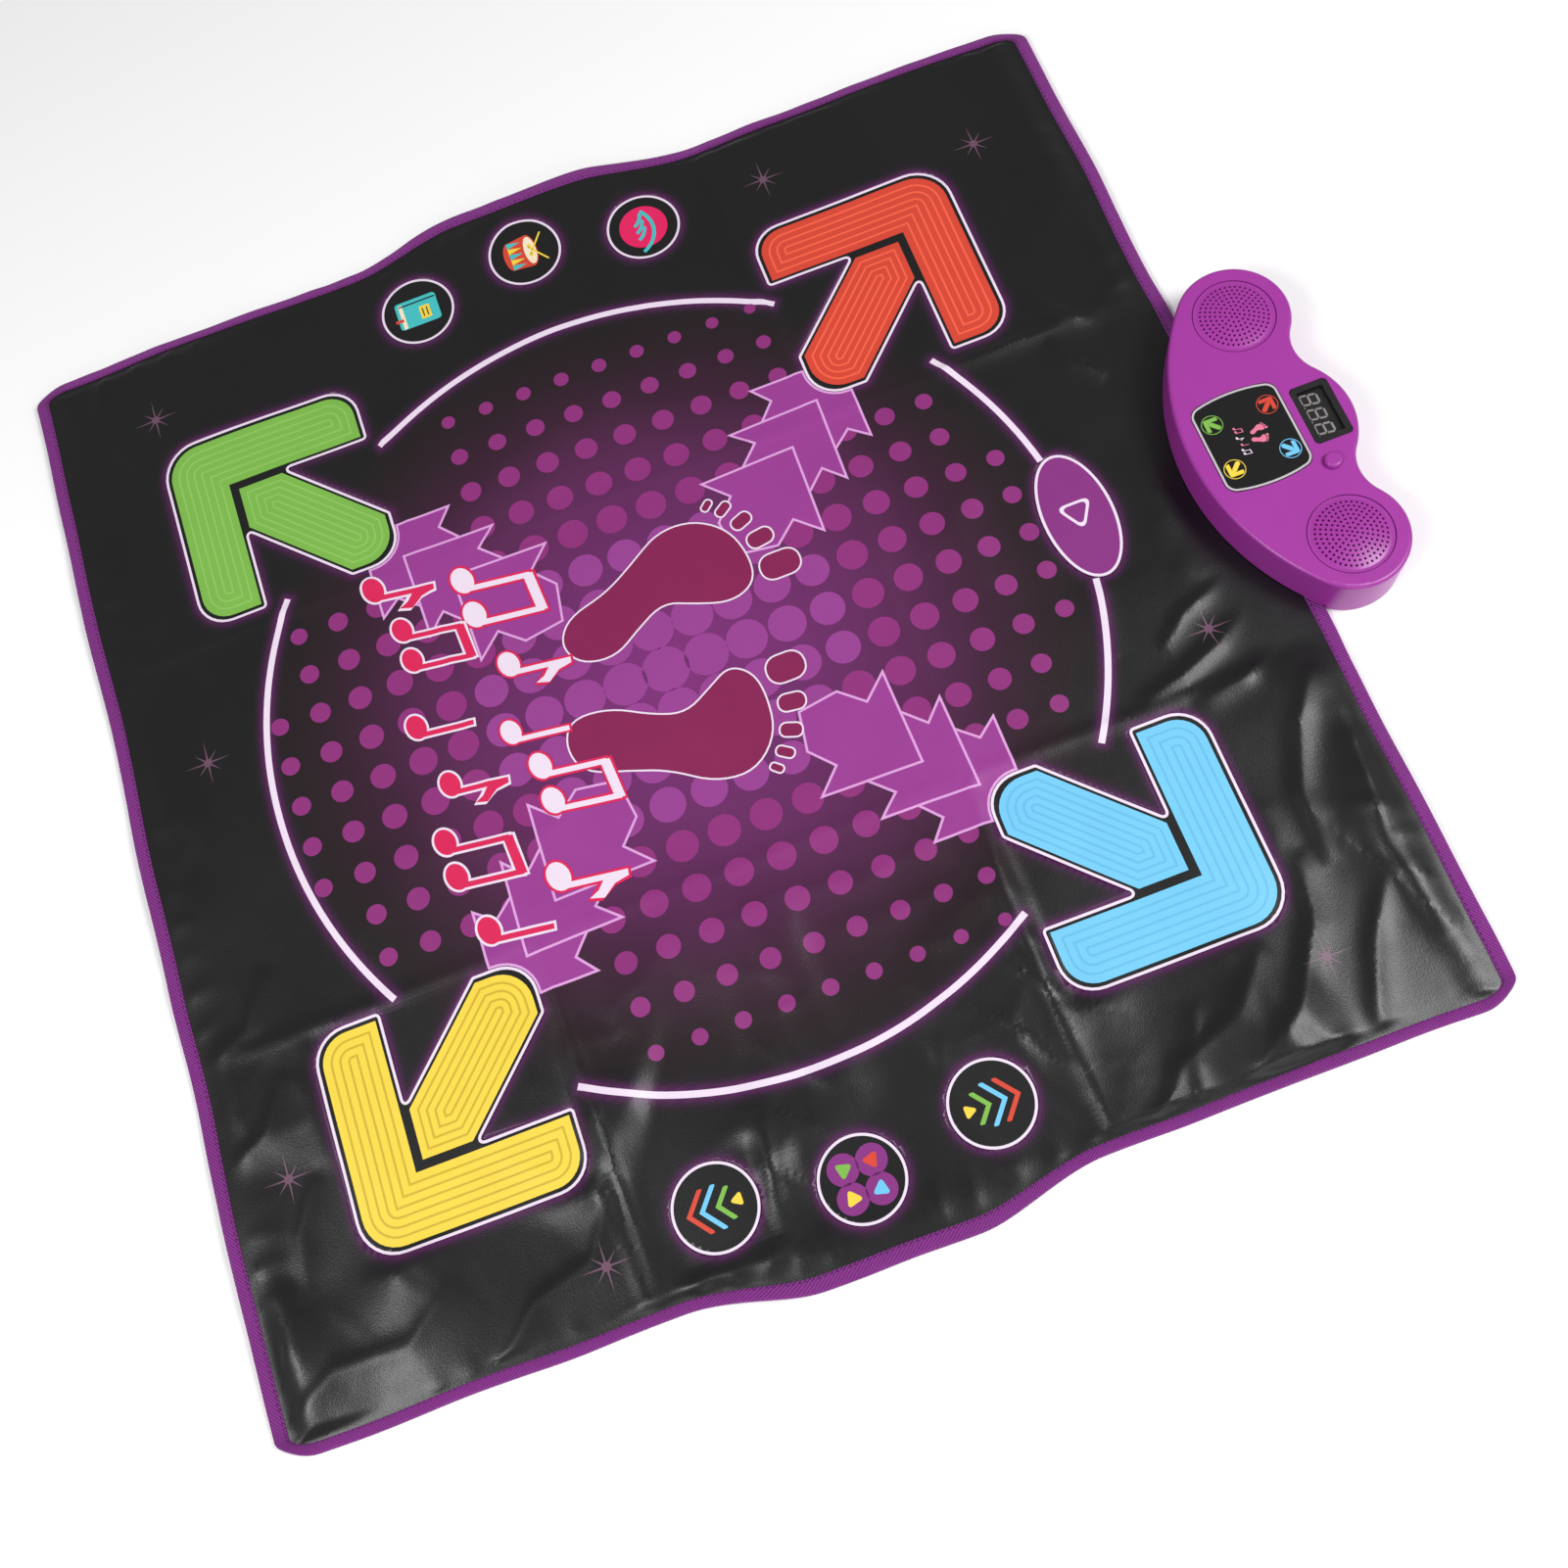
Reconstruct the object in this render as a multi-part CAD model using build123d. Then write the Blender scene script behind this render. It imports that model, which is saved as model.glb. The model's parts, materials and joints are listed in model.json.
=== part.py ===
from build123d import *
import os
from math import atan2, cos, degrees, hypot, radians, sin, sqrt

# Children's electronic dance mat with a music console clamped to its back edge.
# Millimetres. +X is right when facing the console, +Y runs from the player to the console, +Z is up.
# The origin is the middle of the mat's underside, on the floor.

# mat outline and layers, from the floor up
mat_width = 930
mat_depth = 900
mat_corner_radius = 30
backing_thickness = 0.8
film_thickness = 0.2
foam_thickness = 2.6
top_sheet_thickness = 0.6
binding_thickness = 0.8
binding_width = 11
backing_gap = 0.2

# step pads, placed from the mat's edges
pad_gap = 0.4
pad_floor_clearance = 0.4
contact_inset = 6
arrow_half_size = 84.8
arrow_bar_width = 54.5
arrow_stem_width = 61
arrow_tip_radius = 31
arrow_end_radius = 26
arrow_side_margin = 207
arrow_back_margin = 201
arrow_front_margin = 178
start_pad_length = 110
start_pad_width = 56
start_pad_back_margin = 136
icon_pad_diameter = 63
icon_end_side_margin = 77
icon_middle_side_margin = 60
icon_pitch = 101
icon_row_forward = 14

# console casing
console_overlap = 52
console_side_shift = 6
console_depth = 128
console_height = 40
console_wall = 2.2
console_top = 2.2
console_edge_radius = 3
speaker_spacing = 198.5
speaker_setback = 80
speaker_lobe_radius = 43
centre_lobe_radius = 58
neck_radius = 32
foot_gap = 1.5
mat_clearance = 0.3
mat_edge_gap = 0.6
housing_fit_gap = 0.3
base_thickness = 2.2

# speaker grilles and speakers
grille_diameter = 61.6
grille_groove = 0.8
grille_thickness = 1.8
dome_diameter = 57
dome_height = 3.6
dome_hole_diameter = 1.9
dome_hole_pitch = 3.65
dome_hole_rings = 7
ledge_depth = 3.2
ledge_inner_radius = 28
ledge_outer_radius = 36
speaker_flange_radius = 32.5
speaker_flange_thickness = 1.2
basket_mouth_radius = 28.5
basket_base_radius = 18
basket_depth = 12
basket_skin = 1
basket_hole_radius = 7.6
magnet_radius = 16
magnet_thickness = 8
pole_radius = 5.4
pole_height = 4
coil_radius = 6.9
coil_clearance = 1.1
cone_skin = 0.5
cone_gap = 1.3
cone_rim_width = 2.1
cone_rim_drop = 1
cone_depth = 7.2
cone_cap_rise = 2
speaker_screw_circle = 31
speaker_screw_radius = 0.9
speaker_screw_head_radius = 1.4
speaker_screw_count = 4
speaker_screw_turn = 45

# display, label and button on the console's top
window_length = 50
window_width = 30.2
window_corner = 4
window_setback = 103.5
lens_thickness = 1.6
lens_border = 1.5
lens_gap = 0.2
lens_sink = 0.4
display_length = 47
display_width = 26
display_gap = 0.4
label_length = 72
label_width = 68.4
label_bulge = 4.9
label_corner = 10
label_setback = 48.2
label_thickness = 0.7
label_recess = 0.5
label_gap = 0.2
led_radius = 2.5
led_spacing_x = 40
led_spacing_y = 44
led_setback = 48
led_round = 2
button_x = 41.5
button_setback = 93
button_radius = 6.5
button_gap = 0.3
button_rise = 4.5
button_edge_radius = 2.2
button_flange_radius = 7.8
button_flange_thickness = 1.5
button_stem_radius = 2.5
button_travel = 1
switch_size = 6
switch_height = 2.8
plunger_radius = 1.75
plunger_rise = 1.7
plunger_engagement = 1.3

# circuit board, hung on bosses below the top
board_drop = 9
board_thickness = 1.6
board_length = 100
board_width = 80
board_front_setback = 16
board_tab_length = 60
board_tab_depth = 18
board_boss_radius = 3
board_screw_radius = 1.15
board_screw_head_radius = 2.2
board_screw_length = 7
board_screw_places = [(-44, 15), (44, 15), (-44, 70), (44, 56)]
chip_size = 10
chip_height = 1.5
chip_place = (-30, 28)
capacitor_radius = 2.5
capacitor_height = 7
capacitor_places = [(-38, 40), (-38, 50)]

# clamp bar and membrane tail at the mat's back edge
clamp_setback = 29
clamp_length = 116
clamp_width = 16
clamp_thickness = 1.8
clamp_gap = 0.3
clamp_boss_radius = 3
clamp_screw_radius = 1.3
clamp_screw_places = [-50, -18, 18, 50]
tail_width = 30
tail_thickness = 0.2
tail_setback = 16
tail_lap = 8
tail_slot_gap = 2
connector_height = 5
connector_depth = 6
connector_border = 2

# battery bay in the base
cell_radius = 7.25
cell_length = 50.5
cell_nub_length = 1
cell_nub_radius = 2.75
cell_gap = 0.3
cell_count = 3
cell_door_gap = 0.6
bay_end_gap = 0.3
bay_wall = 2.4
bay_ceiling = 1.5
bay_setback = 36
spring_length = 6.5
spring_wire_radius = 0.35
spring_radius = 3.2
spring_turns = 4
contact_thickness = 0.5
contact_width = 10
contact_height = 12
door_ledge = 1
door_gap = 0.4
door_tongue_length = 9
door_tongue_width = 11
door_screw_radius = 1.3
door_screw_length = 6.5
door_screw_seat = 0.2

# fasteners and feet
post_radius = 3
housing_screw_radius = 1.2
housing_screw_head_radius = 2.4
housing_screw_length = 11
neck_post_x = 56
neck_post_setback = 86
lobe_post_circle = 37.5
lobe_post_turn = 45
screw_clearance = 0.2
screw_head_height = 1.2
foot_radius = 5
foot_recess = 0.6
foot_recess_gap = 0.2
foot_places = [(122, 82), (74, 102)]

# internal leads: places on the board, then sizes of each run
lead_radius = 0.8
lead_bend = 0.45
speaker_lead_border = 4
speaker_lead_setback = 38
speaker_lead_rise = 6
speaker_lead_run = (14, 12, 3)
speaker_lead_lap = 1
battery_lead_spacing = 16
battery_lead_reach = 6
battery_lead_run = (3, 10)
battery_lead_rise = 7

# levels that follow from the layers
z_lower_film = backing_thickness
z_foam = z_lower_film + film_thickness
z_upper_film = z_foam + foam_thickness
z_top_sheet = z_upper_film + film_thickness
z_mat_top = z_top_sheet + top_sheet_thickness
z_binding_top = z_mat_top + binding_thickness
pad_travel = foam_thickness - pad_floor_clearance

# places that follow from the mat's edge and the console's front
mat_back = mat_depth / 2
front_y = mat_back - console_overlap
step_y = mat_back + mat_edge_gap
speaker_y = front_y + speaker_setback
z_deck = z_binding_top + mat_clearance
z_deck_top = z_deck + base_thickness
z_base_top = foot_gap + base_thickness
z_ceiling = console_height - console_top
z_board_top = z_ceiling - board_drop
z_board = z_board_top - board_thickness
z_ledge = z_ceiling - ledge_depth
z_screw_end = foot_gap + screw_head_height + housing_screw_length
speaker_x = speaker_spacing / 2
console_x = console_side_shift
sides = [("left", -1), ("right", 1)]


def plate(face, low, high):
    return extrude(Pos(0, 0, low) * face, amount=high - low, dir=(0, 0, 1))


def rod(x, y, radius, low, high):
    return Pos(x, y, (low + high) / 2) * Cylinder(radius, high - low)


def block(x, y, length, width, low, high):
    return Pos(x, y, (low + high) / 2) * Box(length, width, high - low)


def together(solids):
    return Compound(children=list(solids))


def save(name, shape):
    export_step(shape, f"parts/{name}.step")


def save_console(name, shape):
    # Console pieces are drawn about the console's own middle line, then moved to its place along the mat.
    solids = [Pos(console_x, 0, 0) * solid for solid in shape.solids()]
    save(name, together(solids) if len(solids) > 1 else solids[0])


# ---- mat ----


def mat_face(inset):
    return RectangleRounded(mat_width - 2 * inset, mat_depth - 2 * inset, mat_corner_radius - inset)


def arrow_face(growth):
    # An arrow that points to +X +Y: a corner-shaped head and a stem on its diagonal, drawn out by growth.
    edge = arrow_half_size + growth
    inner = arrow_half_size - arrow_bar_width - growth
    diagonal = arrow_stem_width / sqrt(2) + growth * sqrt(2)
    corners = [
        ((-edge, inner), 0),
        ((inner - diagonal, inner), 0),
        ((-edge, diagonal - edge), 0),
        ((-edge, -edge), arrow_end_radius + growth),
        ((diagonal - edge, -edge), 0),
        ((inner, inner - diagonal), 0),
        ((inner, -edge), 0),
        ((edge, -edge), arrow_end_radius + growth),
        ((edge, edge), arrow_tip_radius + growth),
        ((-edge, edge), arrow_end_radius + growth),
    ]
    points = [place for place, radius in corners]
    radii = [radius for place, radius in corners]
    return make_face(FilletPolyline(*points, radius=radii, close=True))


def arrow_pad_face(x, y, turn):
    return lambda growth: Pos(x, y) * Rot(0, 0, turn) * arrow_face(growth)


def round_pad_face(x, y, x_radius, y_radius):
    return lambda growth: Pos(x, y) * Ellipse(x_radius + growth, y_radius + growth)


def step_pads():
    # Name of each pad and the function that draws its face.
    arrow_x = mat_width / 2 - arrow_side_margin
    back_y = mat_depth / 2 - arrow_back_margin
    front_arrow_y = arrow_front_margin - mat_depth / 2
    pads = {
        "arrow_pad_back_right": arrow_pad_face(arrow_x, back_y, 0),
        "arrow_pad_back_left": arrow_pad_face(-arrow_x, back_y, 90),
        "arrow_pad_front_left": arrow_pad_face(-arrow_x, front_arrow_y, 180),
        "arrow_pad_front_right": arrow_pad_face(arrow_x, front_arrow_y, 270),
        "start_pad": round_pad_face(
            0, mat_depth / 2 - start_pad_back_margin, start_pad_length / 2, start_pad_width / 2
        ),
    }
    rows = [("back", 1, icon_end_side_margin), ("middle", 0, icon_middle_side_margin),
            ("front", -1, icon_end_side_margin)]
    for side, sign in sides:
        for row, step, margin in rows:
            x = sign * (mat_width / 2 - margin)
            y = step * icon_pitch - icon_row_forward
            radius = icon_pad_diameter / 2
            pads[f"round_pad_{side}_{row}"] = round_pad_face(x, y, radius, radius)
    return pads


pads = step_pads()
clamp_y = mat_back - clamp_setback
tail_y = mat_back - tail_setback


def pad_openings(low, high):
    return [plate(draw(pad_gap), low, high) for draw in pads.values()]


def boss_openings(low, high):
    radius = clamp_boss_radius + clamp_gap
    return [rod(console_x + x, clamp_y, radius, low, high) for x in clamp_screw_places]


def clamp_recess(low, high):
    return block(console_x, clamp_y, clamp_length + 2 * clamp_gap, clamp_width + 2 * clamp_gap, low, high)


def tail_opening(low, high):
    length = tail_width + 2 * tail_slot_gap
    return block(console_x, tail_y - tail_lap / 2, length, tail_lap + 2 * tail_slot_gap, low, high)


def mat_layer(low, high):
    return plate(mat_face(binding_thickness), low, high)


def top_sheet():
    cuts = pad_openings(z_top_sheet, z_mat_top) + boss_openings(z_top_sheet, z_mat_top)
    return mat_layer(z_top_sheet, z_mat_top) - cuts - tail_opening(z_top_sheet, z_mat_top)


def upper_film():
    cuts = pad_openings(z_upper_film, z_top_sheet) + boss_openings(z_upper_film, z_top_sheet)
    return mat_layer(z_upper_film, z_top_sheet) - cuts


def foam_spacer():
    cuts = pad_openings(z_foam, z_upper_film) + boss_openings(z_foam, z_upper_film)
    return mat_layer(z_foam, z_upper_film) - cuts - clamp_recess(z_foam, clamp_thickness + clamp_gap)


def lower_film():
    return mat_layer(z_lower_film, z_foam) - clamp_recess(z_lower_film, z_foam)


def backing():
    sheet = plate(mat_face(binding_width + backing_gap), 0, backing_thickness)
    return sheet - clamp_recess(0, backing_thickness)


def edge_binding():
    # A tape folded over the mat's edge; its lower flange lies flush with the backing.
    tape = plate(mat_face(0), 0, z_binding_top)
    tape -= plate(mat_face(binding_thickness), z_lower_film, z_mat_top)
    return tape - plate(mat_face(binding_width), 0, z_binding_top)


def step_pad(draw):
    # The printed skin with its contact film bonded underneath.
    skin = plate(draw(0), z_top_sheet, z_mat_top)
    return skin + plate(draw(-contact_inset), z_upper_film, z_top_sheet)


def clamp_bar():
    bar = block(0, clamp_y, clamp_length, clamp_width, 0, clamp_thickness)
    for x in clamp_screw_places:
        bar += rod(x, clamp_y, clamp_boss_radius, 0, z_deck)
        bar -= rod(x, clamp_y, clamp_screw_radius, clamp_thickness / 2, z_deck)
    return bar


def clamp_screws():
    screws = []
    for x in clamp_screw_places:
        shank = rod(x, clamp_y, clamp_screw_radius, clamp_thickness, z_deck_top)
        head = rod(x, clamp_y, 2 * clamp_screw_radius, z_deck_top, z_deck_top + screw_head_height)
        screws.append(shank + head)
    return together(screws)


def membrane_tail():
    # A flat lead that lies on the upper film and rises into its connector.
    end = z_board - connector_height / 2
    lap = block(0, tail_y - tail_lap / 2, tail_width, tail_lap, z_top_sheet, z_top_sheet + tail_thickness)
    rise = block(0, tail_y - tail_thickness / 2, tail_width, tail_thickness, z_top_sheet, end)
    return lap + rise


# ---- console casing ----


def meeting_point(x1, y1, radius1, x2, y2, radius2):
    # Where two circles cross, on the side away from the mat.
    apart = hypot(x2 - x1, y2 - y1)
    along = (radius1**2 - radius2**2 + apart**2) / (2 * apart)
    across = sqrt(radius1**2 - along**2)
    ux = (x2 - x1) / apart
    uy = (y2 - y1) / apart
    return x1 + ux * along - uy * across, y1 + uy * along + ux * across


def direction(x1, y1, x2, y2):
    return degrees(atan2(y2 - y1, x2 - x1))


def console_face(inset):
    # One long arc in front, a lobe around each speaker, a lobe behind the display and two necks between.
    # Every arc keeps its centre and changes its radius by inset, so that walls have one thickness.
    front_radius = (speaker_x**2 + speaker_setback**2 - speaker_lobe_radius**2) / (
        2 * (speaker_setback - speaker_lobe_radius)
    )
    front_centre = front_y + front_radius
    middle_y = front_y + console_depth - centre_lobe_radius
    neck_x, neck_y = meeting_point(
        0, middle_y, centre_lobe_radius + neck_radius,
        speaker_x, speaker_y, speaker_lobe_radius + neck_radius,
    )
    front_turn = direction(0, front_centre, speaker_x, speaker_y)
    lobe_turn = direction(speaker_x, speaker_y, neck_x, neck_y)
    middle_turn = direction(0, middle_y, neck_x, neck_y)
    lobe = speaker_lobe_radius - inset
    neck = neck_radius + inset
    edges = [
        CenterArc((0, front_centre), front_radius - inset, -180 - front_turn, 180 + 2 * front_turn),
        CenterArc((speaker_x, speaker_y), lobe, front_turn, lobe_turn - front_turn),
        CenterArc((neck_x, neck_y), neck, lobe_turn + 180, middle_turn - lobe_turn),
        CenterArc((0, middle_y), centre_lobe_radius - inset, middle_turn, 180 - 2 * middle_turn),
        CenterArc((-neck_x, neck_y), neck, -middle_turn, middle_turn - lobe_turn),
        CenterArc((-speaker_x, speaker_y), lobe, 180 - lobe_turn, lobe_turn - front_turn),
    ]
    return make_face(Wire(edges))


def over_mat(low, high):
    # The space over the mat, in front of the step in the console's underside.
    reach = mat_back
    return block(0, step_y - reach / 2, mat_width, reach, low, high)


def screw_posts():
    turn = radians(lobe_post_turn)
    lobe_x = speaker_x + lobe_post_circle * cos(turn)
    lobe_y = speaker_y + lobe_post_circle * sin(turn)
    right = [(neck_post_x, front_y + neck_post_setback), (lobe_x, lobe_y)]
    return [(sign * x, y) for side, sign in sides for x, y in right]


def board_screws_at():
    return [(x, board_front_y + setback) for x, setback in board_screw_places]


board_front_y = front_y + board_front_setback
window_y = front_y + window_setback
label_y = front_y + label_setback
button_y = front_y + button_setback
led_y = front_y + led_setback
bay_y = step_y + bay_setback


def label_face(growth):
    # Straight front and back, and sides that bow outwards.
    half_length = label_length / 2 + growth
    half_width = label_width / 2 + growth
    bow = half_length + label_bulge
    edges = [
        Line((-half_length, -half_width), (half_length, -half_width)),
        ThreePointArc((half_length, -half_width), (bow, 0), (half_length, half_width)),
        Line((half_length, half_width), (-half_length, half_width)),
        ThreePointArc((-half_length, half_width), (-bow, 0), (-half_length, -half_width)),
    ]
    face = make_face(Wire(edges))
    return fillet(face.vertices(), label_corner + growth)


def window_face(growth):
    return RectangleRounded(window_length + 2 * growth, window_width + 2 * growth, window_corner + growth)


def indicator_places():
    return [
        (x * led_spacing_x / 2, led_y + y * led_spacing_y / 2) for x in (-1, 1) for y in (-1, 1)
    ]


def upper_housing():
    body = plate(console_face(0), foot_gap, console_height)
    rim = body.faces().sort_by(Axis.Z)[-1].edges()
    body = fillet(rim, console_edge_radius)
    body -= plate(console_face(console_wall), foot_gap, z_ceiling)
    body -= over_mat(0, z_deck)
    for side, sign in sides:
        x = sign * speaker_x
        body += rod(x, speaker_y, ledge_outer_radius, z_ledge, z_ceiling)
        body -= rod(x, speaker_y, ledge_inner_radius, z_ledge, z_ceiling)
        opening = grille_diameter / 2 + grille_groove
        body -= rod(x, speaker_y, opening, z_ceiling, console_height)
        for turn in speaker_screw_turns():
            spot = speaker_screw_spot(x, turn)
            body -= rod(*spot, speaker_screw_radius, z_ledge, z_ceiling - screw_clearance)
    for x, y in screw_posts():
        post = rod(x, y, post_radius, z_base_top, z_ceiling)
        body += post & plate(console_face(console_wall / 2), 0, console_height)
        body -= rod(x, y, housing_screw_radius, z_base_top, z_screw_end)
    for x, y in board_screws_at():
        body += rod(x, y, board_boss_radius, z_board_top, z_ceiling)
        body -= rod(x, y, board_screw_radius, z_board_top, z_board + board_screw_length)
    body -= plate(Pos(0, window_y) * window_face(0), z_ceiling, console_height)
    body -= plate(Pos(0, label_y) * label_face(label_gap), console_height - label_recess, console_height)
    for x, y in indicator_places():
        body -= rod(x, y, led_radius + label_gap, z_ceiling, console_height)
    return body - rod(button_x, button_y, button_radius + button_gap, z_ceiling, console_height)


def battery_bay_size():
    length = cell_length + spring_length + contact_thickness + bay_end_gap
    width = cell_count * (2 * cell_radius + cell_gap) + bay_end_gap
    return length, width


bay_length, bay_width = battery_bay_size()
door_thickness = base_thickness - door_gap
z_door_top = foot_gap + door_thickness
cell_z = z_door_top + cell_door_gap + cell_radius
z_bay_ceiling = cell_z + cell_radius + cell_door_gap
door_screw_x = bay_length / 2 + door_ledge + door_tongue_length / 2
z_tongue_top = foot_gap + door_thickness / 2


def door_face(growth):
    return Pos(0, bay_y) * Rectangle(
        bay_length + 2 * (door_ledge + growth), bay_width + 2 * (door_ledge + growth)
    )


def tongue_block(growth, high):
    # The tongue that carries the door's screw, past the right-hand end of the bay.
    length = door_tongue_length + door_ledge
    x = bay_length / 2 + length / 2
    return block(x + growth / 2, bay_y, length + growth, door_tongue_width + 2 * growth, foot_gap, high)


def lower_housing():
    inset = console_wall + housing_fit_gap
    outline = console_face(inset)
    deck = plate(outline, z_deck, z_deck_top) & over_mat(z_deck, z_deck_top)
    floor = plate(outline, foot_gap, z_base_top) - over_mat(foot_gap, z_base_top)
    riser_y = step_y + base_thickness / 2
    riser = plate(outline, foot_gap, z_deck_top) & block(
        0, riser_y, mat_width, base_thickness, foot_gap, z_deck_top
    )
    body = floor + riser + deck
    bay_top = z_bay_ceiling + bay_ceiling
    body += block(0, bay_y, bay_length + 2 * bay_wall, bay_width + 2 * bay_wall, z_base_top, bay_top)
    body += rod(door_screw_x, bay_y, post_radius, z_base_top, foot_gap + door_screw_length + base_thickness)
    body -= block(0, bay_y, bay_length, bay_width, z_base_top, z_bay_ceiling)
    body -= plate(door_face(door_gap), foot_gap, z_base_top)
    body -= tongue_block(door_gap, z_tongue_top + door_gap)
    body -= rod(
        door_screw_x, bay_y, door_screw_radius + door_gap, foot_gap, foot_gap + door_screw_length + door_gap
    )
    for x, y in screw_posts():
        body -= rod(x, y, housing_screw_radius + screw_clearance, foot_gap, z_base_top)
        body -= rod(x, y, housing_screw_head_radius + screw_clearance, foot_gap, foot_gap + screw_head_height)
    for x in clamp_screw_places:
        body -= rod(x, clamp_y, clamp_screw_radius + screw_clearance, z_deck, z_deck_top)
    body -= block(0, tail_y, tail_width + 2 * tail_slot_gap, 2 * tail_slot_gap, z_deck, z_deck_top)
    for x, y in feet_at():
        body -= rod(x, y, foot_radius + foot_recess_gap, foot_gap, foot_gap + foot_recess)
    return body


def feet_at():
    return [(sign * x, front_y + setback) for side, sign in sides for x, setback in foot_places]


def rubber_feet():
    return together(rod(x, y, foot_radius, 0, foot_gap + foot_recess) for x, y in feet_at())


def housing_screws():
    screws = []
    z_head = foot_gap + screw_head_height
    for x, y in screw_posts():
        head = rod(x, y, housing_screw_head_radius, foot_gap, z_head)
        screws.append(head + rod(x, y, housing_screw_radius, z_head, z_head + housing_screw_length))
    return together(screws)


# ---- grilles and speakers ----


def on_circle(centre, radius, reach):
    # A point of a circle whose centre is on the axis, at a given distance from the axis.
    return reach, centre + sqrt(radius**2 - reach**2)


def grille(x):
    # A flat rim and a shallow dome of one thickness, with rings of holes through the dome.
    z_top = z_ceiling + grille_thickness
    rim = grille_diameter / 2
    dome = dome_diameter / 2
    radius = (dome**2 + dome_height**2) / (2 * dome_height)
    z_centre = z_top + dome_height - radius
    hollow = radius - grille_thickness
    hollow_edge = sqrt(hollow**2 - (z_ceiling - z_centre) ** 2)
    edges = [
        Line((hollow_edge, z_ceiling), (rim, z_ceiling)),
        Line((rim, z_ceiling), (rim, z_top)),
        Line((rim, z_top), (dome, z_top)),
        ThreePointArc((dome, z_top), on_circle(z_centre, radius, dome / 2), (0, z_centre + radius)),
        Line((0, z_centre + radius), (0, z_centre + hollow)),
        ThreePointArc(
            (0, z_centre + hollow), on_circle(z_centre, hollow, hollow_edge / 2), (hollow_edge, z_ceiling)
        ),
    ]
    body = revolve(Plane.XZ * make_face(Wire(edges)), axis=Axis.Z)
    holes = []
    for ring in range(dome_hole_rings + 1):
        count = max(1, 6 * ring)
        for step in range(count):
            turn = radians(360 * step / count)
            reach = ring * dome_hole_pitch
            spot = reach * cos(turn), reach * sin(turn)
            holes.append(rod(*spot, dome_hole_diameter / 2, z_ceiling, z_top + 2 * dome_height))
    return Pos(x, speaker_y, 0) * (body - holes)


def speaker_screw_turns():
    apart = 360 / speaker_screw_count
    return [speaker_screw_turn + apart * step for step in range(speaker_screw_count)]


def speaker_screw_spot(x, turn):
    reach = radians(turn)
    return x + speaker_screw_circle * cos(reach), speaker_y + speaker_screw_circle * sin(reach)


def turned(points, x):
    # A solid of revolution from radius and height pairs, heights measured down from the speaker's flange.
    profile = [(radius, z_ledge - drop) for radius, drop in points]
    face = make_face(Polyline(*profile, close=True))
    return Pos(x, speaker_y, 0) * revolve(Plane.XZ * face, axis=Axis.Z)


def speaker_frame(x):
    low = basket_depth + basket_skin
    body = turned(
        [
            (speaker_flange_radius, 0),
            (speaker_flange_radius, speaker_flange_thickness),
            (basket_mouth_radius + basket_skin, speaker_flange_thickness),
            (basket_base_radius + basket_skin, low),
            (basket_hole_radius, low),
            (basket_hole_radius, basket_depth),
            (basket_base_radius, basket_depth),
            (basket_mouth_radius, speaker_flange_thickness),
            (basket_mouth_radius, 0),
        ],
        x,
    )
    for turn in speaker_screw_turns():
        spot = speaker_screw_spot(x, turn)
        body -= rod(*spot, speaker_screw_radius, z_ledge - speaker_flange_thickness, z_ledge)
    return body


def speaker_magnet(x):
    top = z_ledge - basket_depth - basket_skin
    body = rod(x, speaker_y, magnet_radius, top - magnet_thickness, top)
    return body + rod(x, speaker_y, pole_radius, top, top + pole_height)


def speaker_cone(x):
    rim = basket_mouth_radius - cone_gap
    edge = rim - cone_rim_width
    coil_end = basket_depth + basket_skin - coil_clearance
    return turned(
        [
            (rim, cone_rim_drop),
            (rim, cone_rim_drop + cone_skin),
            (edge, cone_rim_drop + cone_skin),
            (coil_radius, cone_depth + cone_skin),
            (coil_radius, coil_end),
            (coil_radius - cone_skin, coil_end),
            (coil_radius - cone_skin, cone_depth),
            (0, cone_depth - cone_cap_rise),
            (0, cone_depth - cone_cap_rise - cone_skin),
            (coil_radius, cone_depth - cone_skin),
            (edge, cone_rim_drop),
        ],
        x,
    )


def speaker_screws():
    screws = []
    low = z_ledge - speaker_flange_thickness
    for side, sign in sides:
        for turn in speaker_screw_turns():
            spot = speaker_screw_spot(sign * speaker_x, turn)
            head = rod(*spot, speaker_screw_head_radius, low - screw_head_height, low)
            screws.append(head + rod(*spot, speaker_screw_radius, low, z_ceiling - screw_clearance))
    return together(screws)


# ---- display, label, button ----


def display_window():
    # A flange held under the top, and a raised pane that fills the opening.
    flange = plate(Pos(0, window_y) * window_face(lens_border), z_ceiling - lens_thickness, z_ceiling)
    return flange + plate(Pos(0, window_y) * window_face(-lens_gap), z_ceiling, console_height - lens_sink)


def led_display():
    top = z_ceiling - lens_thickness - display_gap
    return block(0, window_y, display_length, display_width, z_board_top, top)


def label_panel():
    low = console_height - label_recess
    return plate(Pos(0, label_y) * label_face(0), low, low + label_thickness)


def indicator_leds():
    top = console_height - label_recess - label_gap
    leds = []
    for x, y in indicator_places():
        body = rod(x, y, led_radius, z_board_top, top)
        leds.append(fillet(body.edges().sort_by(Axis.Z)[-1], led_round))
    return together(leds)


def power_button_cap():
    z_flange = z_ceiling - button_gap
    cap = rod(button_x, button_y, button_radius, z_flange, console_height + button_rise)
    cap = fillet(cap.edges().sort_by(Axis.Z)[-1], button_edge_radius)
    z_stem = z_flange - button_flange_thickness
    cap += rod(button_x, button_y, button_flange_radius, z_stem, z_flange)
    return cap + rod(button_x, button_y, button_stem_radius, z_plunger_top, z_stem)


z_switch_top = z_board_top + switch_height
z_plunger_top = z_switch_top + plunger_rise


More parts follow.
